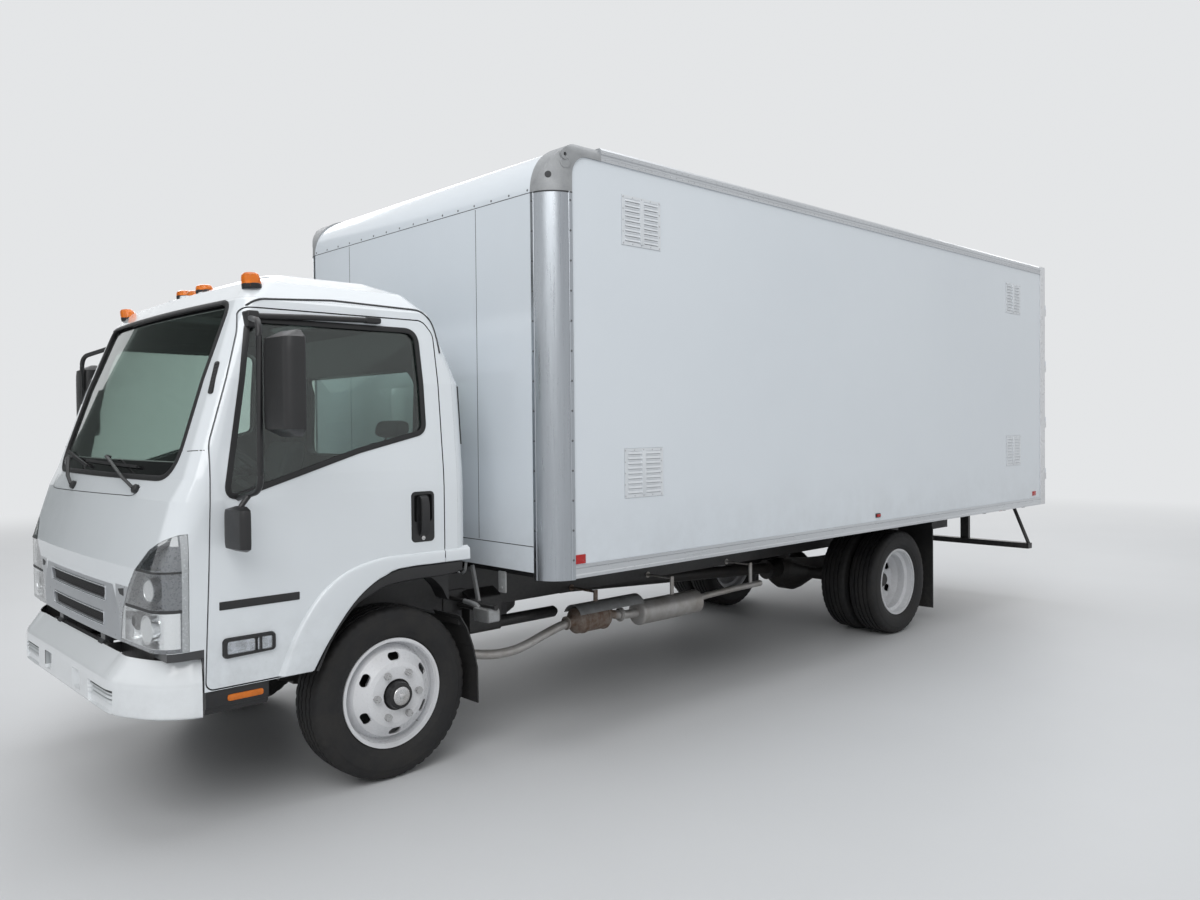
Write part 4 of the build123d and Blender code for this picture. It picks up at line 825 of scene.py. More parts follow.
def cab_trim():
    """Pillar vents, the strips behind the cab, blank door strips, side lamps, reflectors and handles."""
    for s, side in SIDES:
        a, b = cab_skin.front(0.884 * s, 1.94), cab_skin.front(0.914 * s, 1.805)
        vent = Piece()
        out = (a[1] + b[1]).normalized()
        middle = (a[0] + b[0]) / 2
        vent.plate(middle, b[0] - a[0], out, ((b[0] - a[0]).length, 0.026), 0.006, 0.01)
        vent.made(f"pillar_vent_{side}", "trim_black", "cab")
        ribs = Piece()
        for k in range(9):
            p = a[0].lerp(b[0], 0.09 + 0.82 * k / 8)
            ribs.plate(p + out * 0.006, b[0] - a[0], out, (0.005, 0.018), 0.0022, 0.001, 0.001, 0.0006)
        ribs.made(f"pillar_vent_ribs_{side}", "groove", "cab")

        door = Skin(f"door_{side}")
        strip = Piece()
        a, b = door.side(s, -3.642, 0.944), door.side(s, -3.299, 0.944)
        strip.plate((a[0] + b[0]) / 2, b[0] - a[0], a[1], (0.343, 0.034), 0.0025, 0.003)
        strip.made(f"door_strip_{side}", "trim_black", f"cab_door_{side}")

        fitting = Skin(f"door_fittings_{side}", f"door_{side}")
        silver, lens = Piece(), Piece()
        for low, high in ((-3.612, -3.498), (-3.486, -3.424)):
            at, out = fitting.side(s, (low + high) / 2, 0.768)
            silver.plate(at, (0, 1, 0), out, (high - low, 0.05), 0.002, 0.008)
            lens.plate(at + out * 0.0025, (0, 1, 0), out, (high - low + 0.002, 0.054), 0.005, 0.009, 0,
                0.002)
        silver.made(f"side_lamp_reflector_{side}", "lamp_silver", f"cab_door_{side}")
        lens.made(f"side_lamp_lens_{side}", "clear", f"cab_door_{side}")

        at, out = fitting.side(s, -2.68, 1.24)
        handle = Piece()
        grip = [Vector((at.x + out.x * d, -2.68, z)) for z,
            d in ((1.15, 0.004), (1.165, 0.02), (1.2, 0.027), (1.25, 0.029), (1.3, 0.027),
            (1.322, 0.02), (1.335, 0.004))]
        handle.strip(grip, [out] * len(grip), [(-0.022, -0.004), (-0.02, 0.003), (0.02, 0.003),
            (0.022, -0.004)])
        handle.made(f"door_handle_{side}", "trim_black", f"cab_door_{side}")
        lock = Piece()
        found = fitting.side(s, -2.68, 1.137)
        lock.lathe(found[0], out, [(-0.001, 0.01), (0.004, 0.01), (0.005, 0.008)], 20)
        lock.plate(found[0] + out * 0.0045, (0, 0, 1), out, (0.01, 0.0016), 0.001, 0.0005, 0, 0.0003)
        lock.made(f"door_lock_{side}", "bright_steel", f"cab_door_{side}")

        sill = Skin("cab_mouldings")
        a, b = sill.side(s, -3.59, 0.56), sill.side(s, -3.47, 0.56)
        amber = Piece()
        if a and b:
            amber.plate((a[0] + b[0]) / 2, b[0] - a[0], a[1], (0.15, 0.026), 0.006, 0.01, edge=0.002)
        amber.made(f"sill_reflector_{side}", "amber", "cab")

        shell = Skin("cab_back_panel")
        hits = found_only([shell.side(s, -2.426, 1.575 + k * 0.0317) for k in range(10)])
        rear = Piece()
        rear.seal(hits, 0.012, 0.006, closed=False)
        rear.made(f"cab_rear_strip_{side}", "seal_black", "cab")


def headlamp_insides():
    housing = Skin("headlamps")
    for s, side in SIDES:
        bowls, dark, bulbs = Piece(), Piece(), Piece()
        for x, z, r in ((0.845, 0.862, 0.05), (0.872, 1.022, 0.042)):
            at, _ = housing.front(s * x, z)
            axis = Vector((s * 0.16, -1, 0)).normalized()
            bowls.lathe(at, axis, [(0.0005, 0.008), (0.003, r * 0.45), (0.01, r * 0.75), (0.024, r * 0.97),
                (0.0255, r), (0.0235, r)], 40)
            bulbs.lathe(at, axis, [(0.002, 0.009), (0.012, 0.009), (0.019, 0.006), (0.021, 0.002)], 16)
        at, _ = housing.front(s * 0.735, 0.885)
        axis = Vector((s * 0.1, -1, 0)).normalized()
        dark.lathe(at, axis, [(0, 0.04), (0.02, 0.04), (0.024, 0.036), (0.021, 0.031)], 36)
        dark.lathe(at, axis, [(0.021, 0.031), (0.03, 0.027), (0.035, 0.018), (0.037, 0.006)], 36)
        bowls.made(f"lamp_bowls_{side}", "reflector", "cab")
        dark.made(f"lamp_projector_{side}", "trim_black", "cab")
        bulbs.made(f"lamp_bulbs_{side}", "amber", "cab")


GRILLE_SLOTS = ((0.425, 0.936, 0.988), (0.395, 0.824, 0.874))
# Corners of the pockets beside the grille, where dark sheets of painted shade are laid.
GRILLE_POCKET_SHADES = (((0.578, 1.0), (0.64, 1.008), (0.638, 0.976), (0.598, 0.98)),
    ((0.624, 0.904), (0.626, 0.858), (0.572, 0.853)))


def grille_mesh():
    """Black diamond mesh in the grille's two slots, a dark backing behind them that is painted shade, their
    rims, and dark sheets of painted shade in the pockets beside them.
    """
    front = Skin("grille")
    wires, slot_shade = Piece(), Piece()
    for half, z0, z1 in GRILLE_SLOTS:
        depth = []
        for k in range(25):
            x = -half + 2 * half * k / 24
            above, below = front.front(x, z1 + 0.012), front.front(x, z0 - 0.012)
            depth.append((x, (above[0].y + below[0].y) / 2 + 0.012))

        def at(x, z):
            k = min(max(int((x + half) / (2 * half) * 24), 0), 23)
            (xa, ya), (xb, yb) = depth[k], depth[k + 1]
            return Vector((x, ya + (yb - ya) * (x - xa) / (xb - xa), z))

        # A dark sheet just behind each slot is painted shade.
        rows = [[at(x, z) + Vector((0, 0.006 + d, 0)) for x, _ in depth] for d, z in
                ((0, z0), (0, z1), (0.002, z1), (0.002, z0))]
        slot_shade.loft([list(ring) for ring in zip(*rows)])
        tall = z1 - z0
        pitch = 0.014
        x = -half - tall
        while x < half:
            for lean in (1, -1):
                lo, hi = (x, x + tall) if lean > 0 else (x + tall, x)
                ends = []
                for t in range(5):
                    xx = lo + (hi - lo) * t / 4
                    if abs(xx) <= half:
                        ends.append(at(xx, z0 + tall * t / 4))
                if len(ends) > 1:
                    wires.tube(ends, 0.0016, 4)
            x += pitch
    rims = Piece()
    for half, z0, z1 in GRILLE_SLOTS:
        outline = grown(spread(arc_points([(-half, z0), (half, z0), (half, z1), (-half, z1)], 0.004,
            steps=2), 0.08), 0.0045)
        rims.seal(found_only([front.front(*p) for p in outline]), 0.006, 0.0035)
    rims.made("grille_rims", "lamp_silver", "cab")
    shell = Skin("grille", "cab_shell")
    # Dark sheets laid in the pockets: painted shade.
    pocket_shades = Piece()
    for s, _ in SIDES:
        for corners in GRILLE_POCKET_SHADES:
            hits = found_only([shell.front(s * x, z) for x, z in corners])
            pocket_shades.loft([[at + out * lift for at, out in hits] for lift in (-0.004, 0.0012)])
    pocket_shades.made("grille_pocket_shades", "groove", "cab")
    wires.made("grille_mesh", "trim_black", "cab")
    slot_shade.made("grille_slot_shade", "groove", "cab")


cab_trim()
headlamp_insides()
grille_mesh()


def mirror_shell(piece, s, low, high, depth, bottom, top, lean, corner):
    """A mirror head with rounded ends: low and high are x, depth the front and back y."""
    rings = []
    half, tall = (high - low) / 2, (top - bottom) / 2
    for k in range(15):
        t = -1 + 2 * k / 14
        ends = max(1 - abs(t) ** corner, 0.0) ** (1 / corner)
        wide = half - 0.045 * (1 - ends)
        front = depth[1] - (depth[1] - depth[0]) * (0.35 + 0.65 * ends)
        outline = arc_points([(-wide, depth[1]), (wide, depth[1]), (wide * 0.96, front + lean),
            (-wide * 0.96, front)], [0.012, 0.012, 0.04, 0.04], steps=4)
        z = (bottom + top) / 2 + tall * t
        rings.append([Vector((s * ((low + high) / 2 + p.x), p.y, z)) for p in outline])
    piece.loft(rings)


def mirrors():
    y = AXLE_F - 0.75
    for s, side in SIDES:
        shell = Piece()
        mirror_shell(shell, s, 1.2, 1.414, (y + 0.002, y + 0.095), 1.628, 2.042, 0.012, 7)
        mirror_shell(shell, s, 1.022, 1.19, (y - 0.086, y - 0.034), 1.172, 1.352, 0.01, 6)
        corners = [(0.958, y - 0.01, 1.372), (1.2, y - 0.002, 1.415), (1.2, y, 2.085),
            (0.905, y + 0.09, 2.13)]
        route = bent([Vector((s * a, b, c)) for a, b, c in corners], 0.06)
        shell.tube(route, 0.0125, 12)
        shell.tube([(s * 1.1, y - 0.055, 1.33), (s * 1.1, y - 0.03, 1.365),
            (s * 1.1, y - 0.006, 1.394)], 0.011, 10)
        shell.tube([(s * 0.925, y + 0.08, 2.135), (s * 0.925, AXLE_F - 0.4, 2.147),
            (s * 0.925, AXLE_F - 0.07, 2.156)], 0.0125, 12)
        for x, b, z, size, thick in ((0.955, y - 0.01, 1.371, (0.062, 0.05), 0.03),
                (0.915, y + 0.09, 2.122, (0.05, 0.07), 0.034),
                (0.91, AXLE_F - 0.09, 2.155, (0.08, 0.028), 0.03)):
            shell.plate((s * x, b, z), (0, 1, 0), (s, 0, 0), size, thick, 0.01, 0.03, 0.005)
        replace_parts(shell.made(f"mirror_set_{side}", "trim_black", f"cab_door_{side}", 50),
            f"mirror_{side}")
        glass = Piece()
        for x, z, w, h, back in ((1.307, 1.835, 0.18, 0.37, y + 0.095),
                (1.106, 1.262, 0.13, 0.14, y - 0.034)):
            glass.plate((s * x, back, z), (0, 0, 1), (0, 1, 0), (h, w), 0.0008, 0.022, 0.001, 0.0003)
        glass.made(f"mirror_glass_{side}", "mirror_glass", f"cab_door_{side}")


def bent(corners, reach, steps=7):
    """A 3D line with its inner corners rounded."""
    out = [corners[0]]
    for a, p, b in zip(corners, corners[1:], corners[2:]):
        start, end = p + (a - p).normalized() * reach, p + (b - p).normalized() * reach
        out += [start * (1 - t) ** 2 + p * 2 * t * (1 - t) + end * t * t
            for t in [k / steps for k in range(steps + 1)]]
    return out + [corners[-1]]


VENT_CORNERS = [(-1.62, 2.612), (-1.62, 1.273), (3.1, 2.612), (3.1, 1.273)]


def body_rivets():
    posts = Skin("corner_posts")
    wall = Skin("box_front_wall", "box_nose_cap")
    rails = Skin("top_rails", "bottom_rails", "box_side_left", "box_side_right")
    vents = Skin("side_vents")
    heads, dark, bars = Piece(), Piece(), Piece()
    for s, _ in SIDES:
        for k in range(13):
            z = 0.985 + 0.15 * k
            dark.rivet(posts.side(s, -1.987, z), 0.0065)
            dark.rivet(posts.front(s * 1.158, z), 0.0065)
        for k in range(112):
            y = -1.74 + 0.05 * k
            for z in (3.031, 3.066):
                heads.rivet(rails.side(s, y, z), 0.0052)
            if k % 3 == 0:
                heads.rivet(rails.side(s, y, 0.938), 0.0055)
        for y0, z0 in VENT_CORNERS:
            bars.plate((s * 1.2925, y0 + 0.151, z0 + 0.132), (0, 0, 1), (s, 0, 0), (0.236, 0.03), 0.0018,
                0.006, 0.006)
            for k in range(5):
                for y, z in ((y0 + 0.012 + 0.069 * k, z0 + 0.01), (y0 + 0.012 + 0.069 * k, z0 + 0.255),
                        (y0 + 0.01, z0 + 0.012 + 0.06 * k), (y0 + 0.29, z0 + 0.012 + 0.06 * k)):
                    found = vents.side(s, y, z)
                    if found and abs(found[0].x) > 1.289:
                        heads.rivet(found, 0.0045)
    bars.made("vent_bars", "vent_metal", "chassis")
    for k in range(16):
        dark.rivet(wall.front(-1.125 + 0.15 * k, 2.843), 0.0062)
    heads.made("body_rivets", "rivet", "chassis")
    dark.made("post_rivets", "dark_rivet", "chassis")
    lines = Piece()
    for pts in ([(x, 2.829) for x in (-1.143, -0.4, 0.4, 1.143)],
            [(0.682, 2.822), (0.682, 1.9), (0.682, 1.06)], [(-0.682, 2.822), (-0.682, 1.9), (-0.682, 1.06)],
            [(-1.143, 1.052), (0, 1.052), (1.143, 1.052)]):
        path = spread([Vector(p) for p in pts], 0.2, closed=False)
        lines.seal(found_only([wall.front(*p) for p in path]), 0.0045, 0.0005, closed=False)
    for s, _ in SIDES:
        ups = [Vector((s * math.sin(t), -math.cos(t), 0)) for t in [math.pi / 2 * k / 12
            for k in range(13)]]
        arc = [Vector((s * 1.145, -1.973, 2.826)) + up * 0.1505 for up in ups]
        lines.strip(arc, ups, flat(0.003, -0.004, 0.0006))
    lines.made("body_joints", "groove", "chassis")


def markers():
    sides = Skin("box_side_left", "box_side_right")
    red, amber, dark = Piece(), Piece(), Piece()
    for s, _ in SIDES:
        at, out = sides.side(s, -1.937, 0.985)
        red.plate(at, (0, 1, 0), out, (0.072, 0.046), 0.004, 0.004)
        at, out = sides.side(s, 0.95, 0.997)
        dark.plate(at, (0, 1, 0), out, (0.062, 0.03), 0.006, 0.006)
        red.plate(at + out * 0.006, (0, 1, 0), out, (0.048, 0.02), 0.008, 0.006, edge=0.004)
        at, out = sides.side(s, 3.7, 1.0)
        red.plate(at, (0, 1, 0), out, (0.072, 0.04), 0.004, 0.004)
    frame_skin = Skin("rear_frame")
    for x in (-1.16, -0.16, 0, 0.16, 1.16):
        found = frame_skin.back(x, 3.033)
        if found:
            dark.plate(found[0], (1, 0, 0), found[1], (0.09, 0.036), 0.006, 0.01)
            red.plate(found[0] + found[1] * 0.006, (1, 0, 0), found[1], (0.074, 0.026), 0.01, 0.01,
                edge=0.004)
    red.made("red_markers", "red", "chassis")
    dark.made("marker_bases", "seal_black", "chassis")
    lamps = Skin("tail_lamps")
    clear, tail, screws, rims = Piece(), Piece(), Piece(), Piece()
    for s, _ in SIDES:
        for x, look in ((0.68, clear), (0.77, amber), (0.86, tail)):
            at, out = lamps.back(s * x, 0.845)
            rims.plate(at, (1, 0, 0), out, (0.084, 0.08), 0.002, 0.01)
            look.plate(at + out * 0.002, (1, 0, 0), out, (0.074, 0.07), 0.007, 0.01, edge=0.003)
            for dx in (-0.031, 0.031):
                screws.rivet((at + out * 0.0085 + Vector((dx, 0, 0.029)), out), 0.003)
    rims.made("tail_lamp_rims", "trim_black", "chassis")
    clear.made("reverse_lenses", "clear", "chassis")
    amber.made("turn_lenses", "amber", "chassis")
    tail.made("tail_lenses", "red", "chassis")
    screws.made("lens_screws", "rivet", "chassis")


mirrors()
body_rivets()
markers()


def rear_doors():
    for s, side in SIDES:
        door = Skin(f"cargo_door_{side}")
        seal = Piece()
        corners = [(s * 0.012, 0.965), (s * 1.235, 0.965), (s * 1.235, 2.958), (s * 0.012, 2.958)]
        path = spread([Vector(p) for p in arc_points(corners, 0.02, steps=3)], 0.25)
        seal.seal(found_only([door.back(*p) for p in path]), 0.02, 0.004)
        seal.made(f"cargo_door_seal_{side}", "seal_black", f"cargo_door_{side}")
        bolts = Piece()
        for z in (1.18, 1.66, 2.18, 2.7):
            for x in (1.1, 1.16, 1.22):
                bolts.rivet(door.back(s * x, z + 0.021), 0.007)
        for z in (1.065, 1.5, 2.858):
            for dx in (-0.027, 0.027):
                bolts.rivet(door.back(s * 0.3 + dx, z), 0.005)
        bolts.made(f"cargo_door_bolts_{side}", "rivet", f"cargo_door_{side}")
        marks = Piece()
        for z in (1.05, 2.88):
            at, out = door.back(s * 0.75, z)
            marks.plate(at, (1, 0, 0), out, (0.3, 0.048), 0.0012, 0.002, edge=0.0004)
        marks.made(f"cargo_door_reflector_{side}", "red", f"cargo_door_{side}")
    plate = Piece()
    guard = Skin("underride_guard", "rear_frame")
    found = guard.back(0, 0.925)
    if found:
        plate.plate(found[0], (1, 0, 0), found[1], (0.3, 0.06), 0.002, 0.004)
        plate.made("blank_plate", "rivet", "chassis")


def chassis_bolts():
    rails = Skin("chassis_frame")
    heads = Piece()
    for s, _ in SIDES:
        for k in range(24):
            y = -1.55 + 0.22 * k
            for z in (0.622, 0.775):
                found = rails.side(s, y, z)
                if found and abs(found[0].x) > 0.41:
                    heads.bolt(found[0], found[1], 0.01, 0.009)
    flaps = Skin("mud_flaps")
    for x in (0.8, 0.9, 1.0):
        for s, _ in SIDES:
            found = flaps.back(s * x, 0.8)
            if found:
                heads.bolt(found[0], found[1], 0.008, 0.007)
    heads.made("chassis_bolts", "dark_rivet", "chassis")
    tank = Skin("fuel_tank")
    straps = Piece()
    for y in (-0.25, 0.25):
        ring = []
        for k in range(48):
            t = math.tau * k / 48
            d = Vector((math.cos(t), 0, math.sin(t)))
            found = tank.hit(Vector((-0.7, y, 0.6)) + d * 0.8, -d)
            if found and found[0].x < -0.44:
                ring.append((found[0], d))
        if len(ring) > 20:
            straps.strip([p for p, _ in ring], [d for _, d in ring],
                flat(0.022, -0.002, 0.003), closed=False)
    straps.made("tank_straps", "bright_steel", "chassis")
    cap = Piece()
    found = tank.side(-1, -0.1, 0.7)
    if found:
        cap.lathe(found[0], found[1], [(-0.004, 0.045), (0.018, 0.045), (0.024, 0.04), (0.026, 0.032)], 28)
        cap.plate(found[0] + found[1] * 0.026, (0, 0, 1), found[1], (0.06, 0.012), 0.008, 0.003, 0.001)
    cap.made("fuel_cap", "trim_black", "chassis")


rear_doors()
chassis_bolts()


# Seats: each cushion is a closed form with crowned faces, inflated by a short cloth run

def cushion(name, outline, x, half, seams, cap=0.016):
    """A padded piece: outline is its side view as y, z; half its half width."""
    piece = Piece()
    rings = []
    soft = arc_points(outline, 0.035, steps=4)
    middle = Vector((sum(p[0] for p in soft) / len(soft), sum(p[1] for p in soft) / len(soft)))
    for k in range(13):
        t = -1 + 2 * k / 12
        shrink = 1 - 0.1 * abs(t) ** 6 - 0.1 * abs(t) ** 20
        rings.append([Vector((x + half * t, middle[0] + (p[0] - middle[0]) * shrink,
            middle[1] + (p[1] - middle[1]) * shrink)) for p in soft])
    piece.loft(rings)
    thing = piece.made(name, "seat_cloth", "cab", 80)
    bpy.context.view_layer.objects.active = thing
    remesh = thing.modifiers.new("voxels", "REMESH")
    remesh.mode = "VOXEL"
    remesh.voxel_size = 0.008
    remesh.use_smooth_shade = True
    baked(thing)
    start = [v.co.copy() for v in thing.data.vertices]
    cloth = thing.modifiers.new("swell", "CLOTH")
    cloth.settings.use_pressure = True
    cloth.settings.uniform_pressure_force = 4
    cloth.settings.effector_weights.gravity = 0
    cloth.settings.quality = 4
    for frame_number in range(1, 21):
        bpy.context.scene.frame_set(frame_number)
    baked(thing)
    bpy.context.scene.frame_set(1)
    for v, old in zip(thing.data.vertices, start):
        move = v.co - old
        if move.length > cap:
            v.co = old + move.normalized() * cap
    for v in thing.data.vertices:
        v.co += sewn(v.co, v.normal, x, seams)
    return thing


def baked(thing):
    """Puts the modifiers' result into the mesh."""
    graph = bpy.context.evaluated_depsgraph_get()
    mesh = bpy.data.meshes.new_from_object(thing.evaluated_get(graph))
    mesh.materials.clear()
    mesh.materials.append(MAT["seat_cloth"])
    old = thing.data
    thing.modifiers.clear()
    thing.data = mesh
    bpy.data.meshes.remove(old)


def sewn(co, normal, x, seams):
    """How far a point sinks into the channels sewn along the cushion, at offsets from its middle."""
    sink = 0.0
    for offset in seams:
        near = abs(co.x - x - offset) / 0.007
        if near < 2.5:
            sink += 0.007 * math.exp(-near * near)
    return normal * -sink


def seats():
    y = AXLE_F
    bases = Piece()
    made = []
    for s, side in SIDES:
        x = 0.58 * s
        made.append(cushion(f"seat_cushion_{side}", [(y - 0.318, 1.09), (y + 0.105, 1.085),
            (y + 0.11, 1.205), (y - 0.1, 1.198), (y - 0.318, 1.212)], x, 0.208, (-0.115, 0.115)))
        made.append(cushion(f"seat_back_{side}", [(y + 0.035, 1.215), (y + 0.135, 1.19),
            (y + 0.24, 1.585), (y + 0.172, 1.6)], x, 0.205, (-0.11, 0.11)))
        made.append(cushion(f"seat_headrest_{side}", [(y + 0.16, 1.615), (y + 0.24, 1.605),
            (y + 0.258, 1.69), (y + 0.19, 1.698)], x, 0.115, (), cap=0.008))
        bases.plate((x, y - 0.11, 1.045), (1, 0, 0), (0, 0, 1), (0.4, 0.42), 0.055, 0.02, 0, 0.006)
        for dx in (-0.05, 0.05):
            bases.tube([(x + dx, y + 0.195, 1.57), (x + dx, y + 0.212, 1.63)], 0.006, 8)
    frame_piece = bases.made("seat_bases", "cab_plastic", "cab")
    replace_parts(frame_piece, "seats")
    belts = Piece()
    for s, _ in SIDES:
        x = 0.83 * s
        pts = [Vector((x, y + 0.21, 1.9)), Vector((x - s * 0.005, y + 0.2, 1.55)),
            Vector((x - s * 0.01, y + 0.18, 1.12))]
        belts.strip(pts, [Vector((-s, 0, 0))] * 3, [(-0.023, -0.001), (-0.023, 0.001), (0.023, 0.001),
            (0.023, -0.001)])
    belts.made("seat_belts", "belt_cloth", "cab")


seats()


def cab_controls():
    """Gear lever on the engine's hump, the steering column's stalks and the dash clusters."""
    lever = Piece()
    lever.lathe((0.13, -3.3, 1.125), (0, 0, 1), [(0, 0.05), (0.02, 0.046), (0.045, 0.022),
        (0.06, 0.012)], 24)
    lever.tube([(0.13, -3.3, 1.17), (0.135, -3.31, 1.26), (0.14, -3.335, 1.36)], 0.007, 10)
    lever.lathe((0.141, -3.338, 1.355), (0.03, -0.2, 1), [(0, 0.012), (0.015, 0.024), (0.04, 0.026),
        (0.055, 0.014)], 20)
    lever.made("gear_lever", "cab_plastic", "cab")
    stalks = Piece()
    for dx in (-1, 1):
        stalks.tube([(0.52 + 0.03 * dx, -3.415, 1.43), (0.52 + 0.1 * dx, -3.4, 1.445),
            (0.52 + 0.17 * dx, -3.38, 1.455)], 0.007, 8)
    stalks.made("column_stalks", "cab_plastic", "cab")
    dash = Skin("dashboard")
    faces = Piece()
    for x, w, h, z in ((0.52, 0.32, 0.1, 1.345), (0.0, 0.2, 0.1, 1.33), (0.0, 0.19, 0.05, 1.23),
            (-0.55, 0.34, 0.1, 1.26)):
        found = dash.back(x, z, -3.0)
        if found:
            faces.plate(found[0], (1, 0, 0), found[1], (w, h), 0.006, 0.015)
    for x in (0.8, 0.25, -0.25, -0.8):
        found = dash.back(x, 1.345, -3.0)
        if found:
            faces.plate(found[0], (1, 0, 0), found[1], (0.11, 0.055), 0.005, 0.01)
    faces.made("dash_faces", "groove", "cab")


cab_controls()


# The front bumper, folded along its ledge, with a lamp recess and a wedge on each side
BUMPER_PLAN = [(0.0, -3.975), (0.28, -3.975), (0.54, -3.975), (0.68, -3.968), (0.8, -3.921),
    (0.905, -3.853), (0.972, -3.765), (0.99, -3.712)]
BUMPER_FACE = [(0.503, 0.03), (0.503, 0.014), (0.508, 0.004), (0.516, 0.0), (0.63, 0.0), (0.637, 0.0016),
    (0.642, 0.0016), (0.652, 0.006), (0.664, 0.013), (0.7, 0.044), (0.724, 0.064), (0.732, 0.071),
    (0.735, 0.076), (0.733, 0.081), (0.727, 0.081), (0.698, 0.062), (0.645, 0.034), (0.51, 0.032)]
LOUVRES = [(0.511, 0.0), (0.519, 0.012), (0.548, 0.015), (0.552, 0.006), (0.566, 0.014), (0.57, 0.006),
    (0.584, 0.014), (0.588, 0.006), (0.603, 0.015), (0.606, 0.0)]
WEDGE = (0.17, 0.288)
BUMPER_MARKS = [0.165, 0.17, 0.2, 0.23, 0.26, 0.285, 0.288, 0.291, 0.405, 0.412, 0.45, 0.5, 0.6,
    0.65, 0.692, 0.7]


def between(value, low, high):
    return min(max((value - low) / (high - low), 0.0), 1.0)


def recess(x, z):
    """How deep the bumper's face is sunk at a point."""
    x = abs(x)
    deep = 0.0
    if 0.405 < x < 0.702 and LOUVRES[0][0] <= z <= LOUVRES[-1][0]:
        for (za, a), (zb, b) in zip(LOUVRES, LOUVRES[1:]):
            if za <= z <= zb:
                deep = a + (b - a) * (z - za) / (zb - za)
        deep *= min(between(x, 0.407, 0.412), between(x, 0.7, 0.692))
    if WEDGE[0] < x < WEDGE[1]:
        deep = 0.022 * between(x, *WEDGE) * between(x, WEDGE[1], 0.285) * between(z, 0.531,
            0.545) * between(z, 0.614, 0.61)
    return deep


def bumper():
    half = smooth(BUMPER_PLAN, 8)
    for mark in BUMPER_MARKS:
        k = next(k for k, p in enumerate(half) if p.x > mark)
        a, b = half[k - 1], half[k]
        half.insert(k, a.lerp(b, (mark - a.x) / (b.x - a.x)))
    plan = [Vector((-p.x, p.y)) for p in reversed(half[1:])] + half
    heights = sorted({z for z, _ in LOUVRES} | {0.531, 0.538, 0.545, 0.61, 0.614})
    section = []
    for (za, a), (zb, b) in zip(BUMPER_FACE, BUMPER_FACE[1:]):
        section.append((za, a))
        if (za, zb) == (0.516, 0.63):
            section += [(z, 0.0) for z in heights if z > za]
        if (za, zb) == (0.508, 0.516):
            section.append((0.511, 0.002))
    section.append(BUMPER_FACE[-1])
    rings = []
    for i, p in enumerate(plan):
        along = (plan[min(i + 1, len(plan) - 1)] - plan[max(i - 1, 0)]).normalized()
        inward = Vector((-along.y, along.x))
        share = 1 - 0.56 * between(abs(p.x), 0.6, 0.975)
        ring = []
        for k, (z, back) in enumerate(section):
            sunk = back * (share if z > 0.64 else 1) + (recess(p.x, z) if back < 0.003 else 0)
            q = p + inward * sunk
            ring.append(Vector((q.x, max(q.y, -3.975), z)))
        rings.append(ring)
    shell = Piece()
    shell.loft(rings)
    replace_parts(shell.made("front_bumper", "bumper_white", "chassis", 30), "bumper")
    arms = Piece()
    for s, _ in SIDES:
        ring = arc_points([(s * 0.39 - 0.02, 0.598), (s * 0.39 + 0.02, 0.598), (s * 0.39 + 0.02, 0.642),
            (s * 0.39 - 0.02, 0.642)], 0.004, steps=2)
        arms.loft([[Vector((p.x, y, p.y)) for p in ring] for y in (-3.945, -3.893)])
        arms.plate((s * 0.6225, -3.838, 0.664), (1, 0, 0), (0, -1, 0), (0.397, 0.212), 0.004, 0.01)
    arms.made("bumper_arms", "chassis_black", "chassis")


bumper()


# The wheel arch: a raised white band, a black flare under it and the black sill in front
ARCH = [(-0.594, 0.612, -0.441, 0.612), (-0.526, 0.773, -0.372, 0.722), (-0.417, 0.93, -0.267, 0.856),
    (-0.275, 1.028, -0.168, 0.941), (-0.095, 1.071, -0.05, 0.998), (0.06, 1.0735, 0.06, 1.009),
    (0.15, 1.074, 0.15, 1.009), (0.2375, 1.0745, 0.2375, 1.009)]
ARCH_REAR = [(0.2425, 1.0745, 0.2425, 1.009), (0.3, 1.075, 0.3, 1.009), (0.385, 1.0755, 0.385, 1.009)]
BAND = [(0.0, -0.0025, 0.986), (0.0, 0.0, 0.9885), (0.0, 0.004, 0.995), (0.0, 0.008, 1.0025),
    (0.0, 0.012, 1.0072), (0.0, 0.018, 1.0088), (0.0, 0.032, 1.0092), (1.0, -0.008, 1.0092),
    (1.0, -0.003, 1.0082), (1.0, -0.0005, 1.005), (1.0, 0.0, 0.999), (1.0, 0.0, 0.986)]
LINER = [(0.33, 1.004, 0.33, 0.8), (0.318, 1.004, 0.318, 0.812), (0.262, 1.004, 0.282, 0.874),
    (0.19, 1.004, 0.205, 0.93), (0.062, 1.004, 0.055, 0.941)]
LINER_FORM = [(0.0, -0.008, 0.797), (0.0, -0.008, 0.839), (0.0, 0.0, 0.84), (0.0, 0.0, 0.9),
    (1.0, -0.004, 0.9), (1.0, 0.0, 0.896), (1.0, 0.0, 0.797)]
FLARE = [(0.345, 1.004, 0.345, 0.956), (0.29, 1.004, 0.29, 0.946), (0.19, 1.004, 0.195, 0.942),
    (0.062, 1.004, 0.055, 0.941), (-0.046, 0.992, -0.078, 0.929), (-0.164, 0.938, -0.15, 0.899),
    (-0.263, 0.855, -0.236, 0.856), (-0.367, 0.721, -0.338, 0.741), (-0.428, 0.606, -0.41, 0.6)]
FLARE_FORM = [(0.0, -0.008, 0.797), (0.0, -0.008, 0.839), (0.0, 0.0, 0.84), (0.0, 0.0, 0.99),
    (0.0, 0.001, 0.9965), (0.0, 0.005, 0.999), (1.0, -0.006, 0.996), (1.0, -0.001, 0.99),
    (1.0, 0.0, 0.98), (1.0, 0.0, 0.797)]


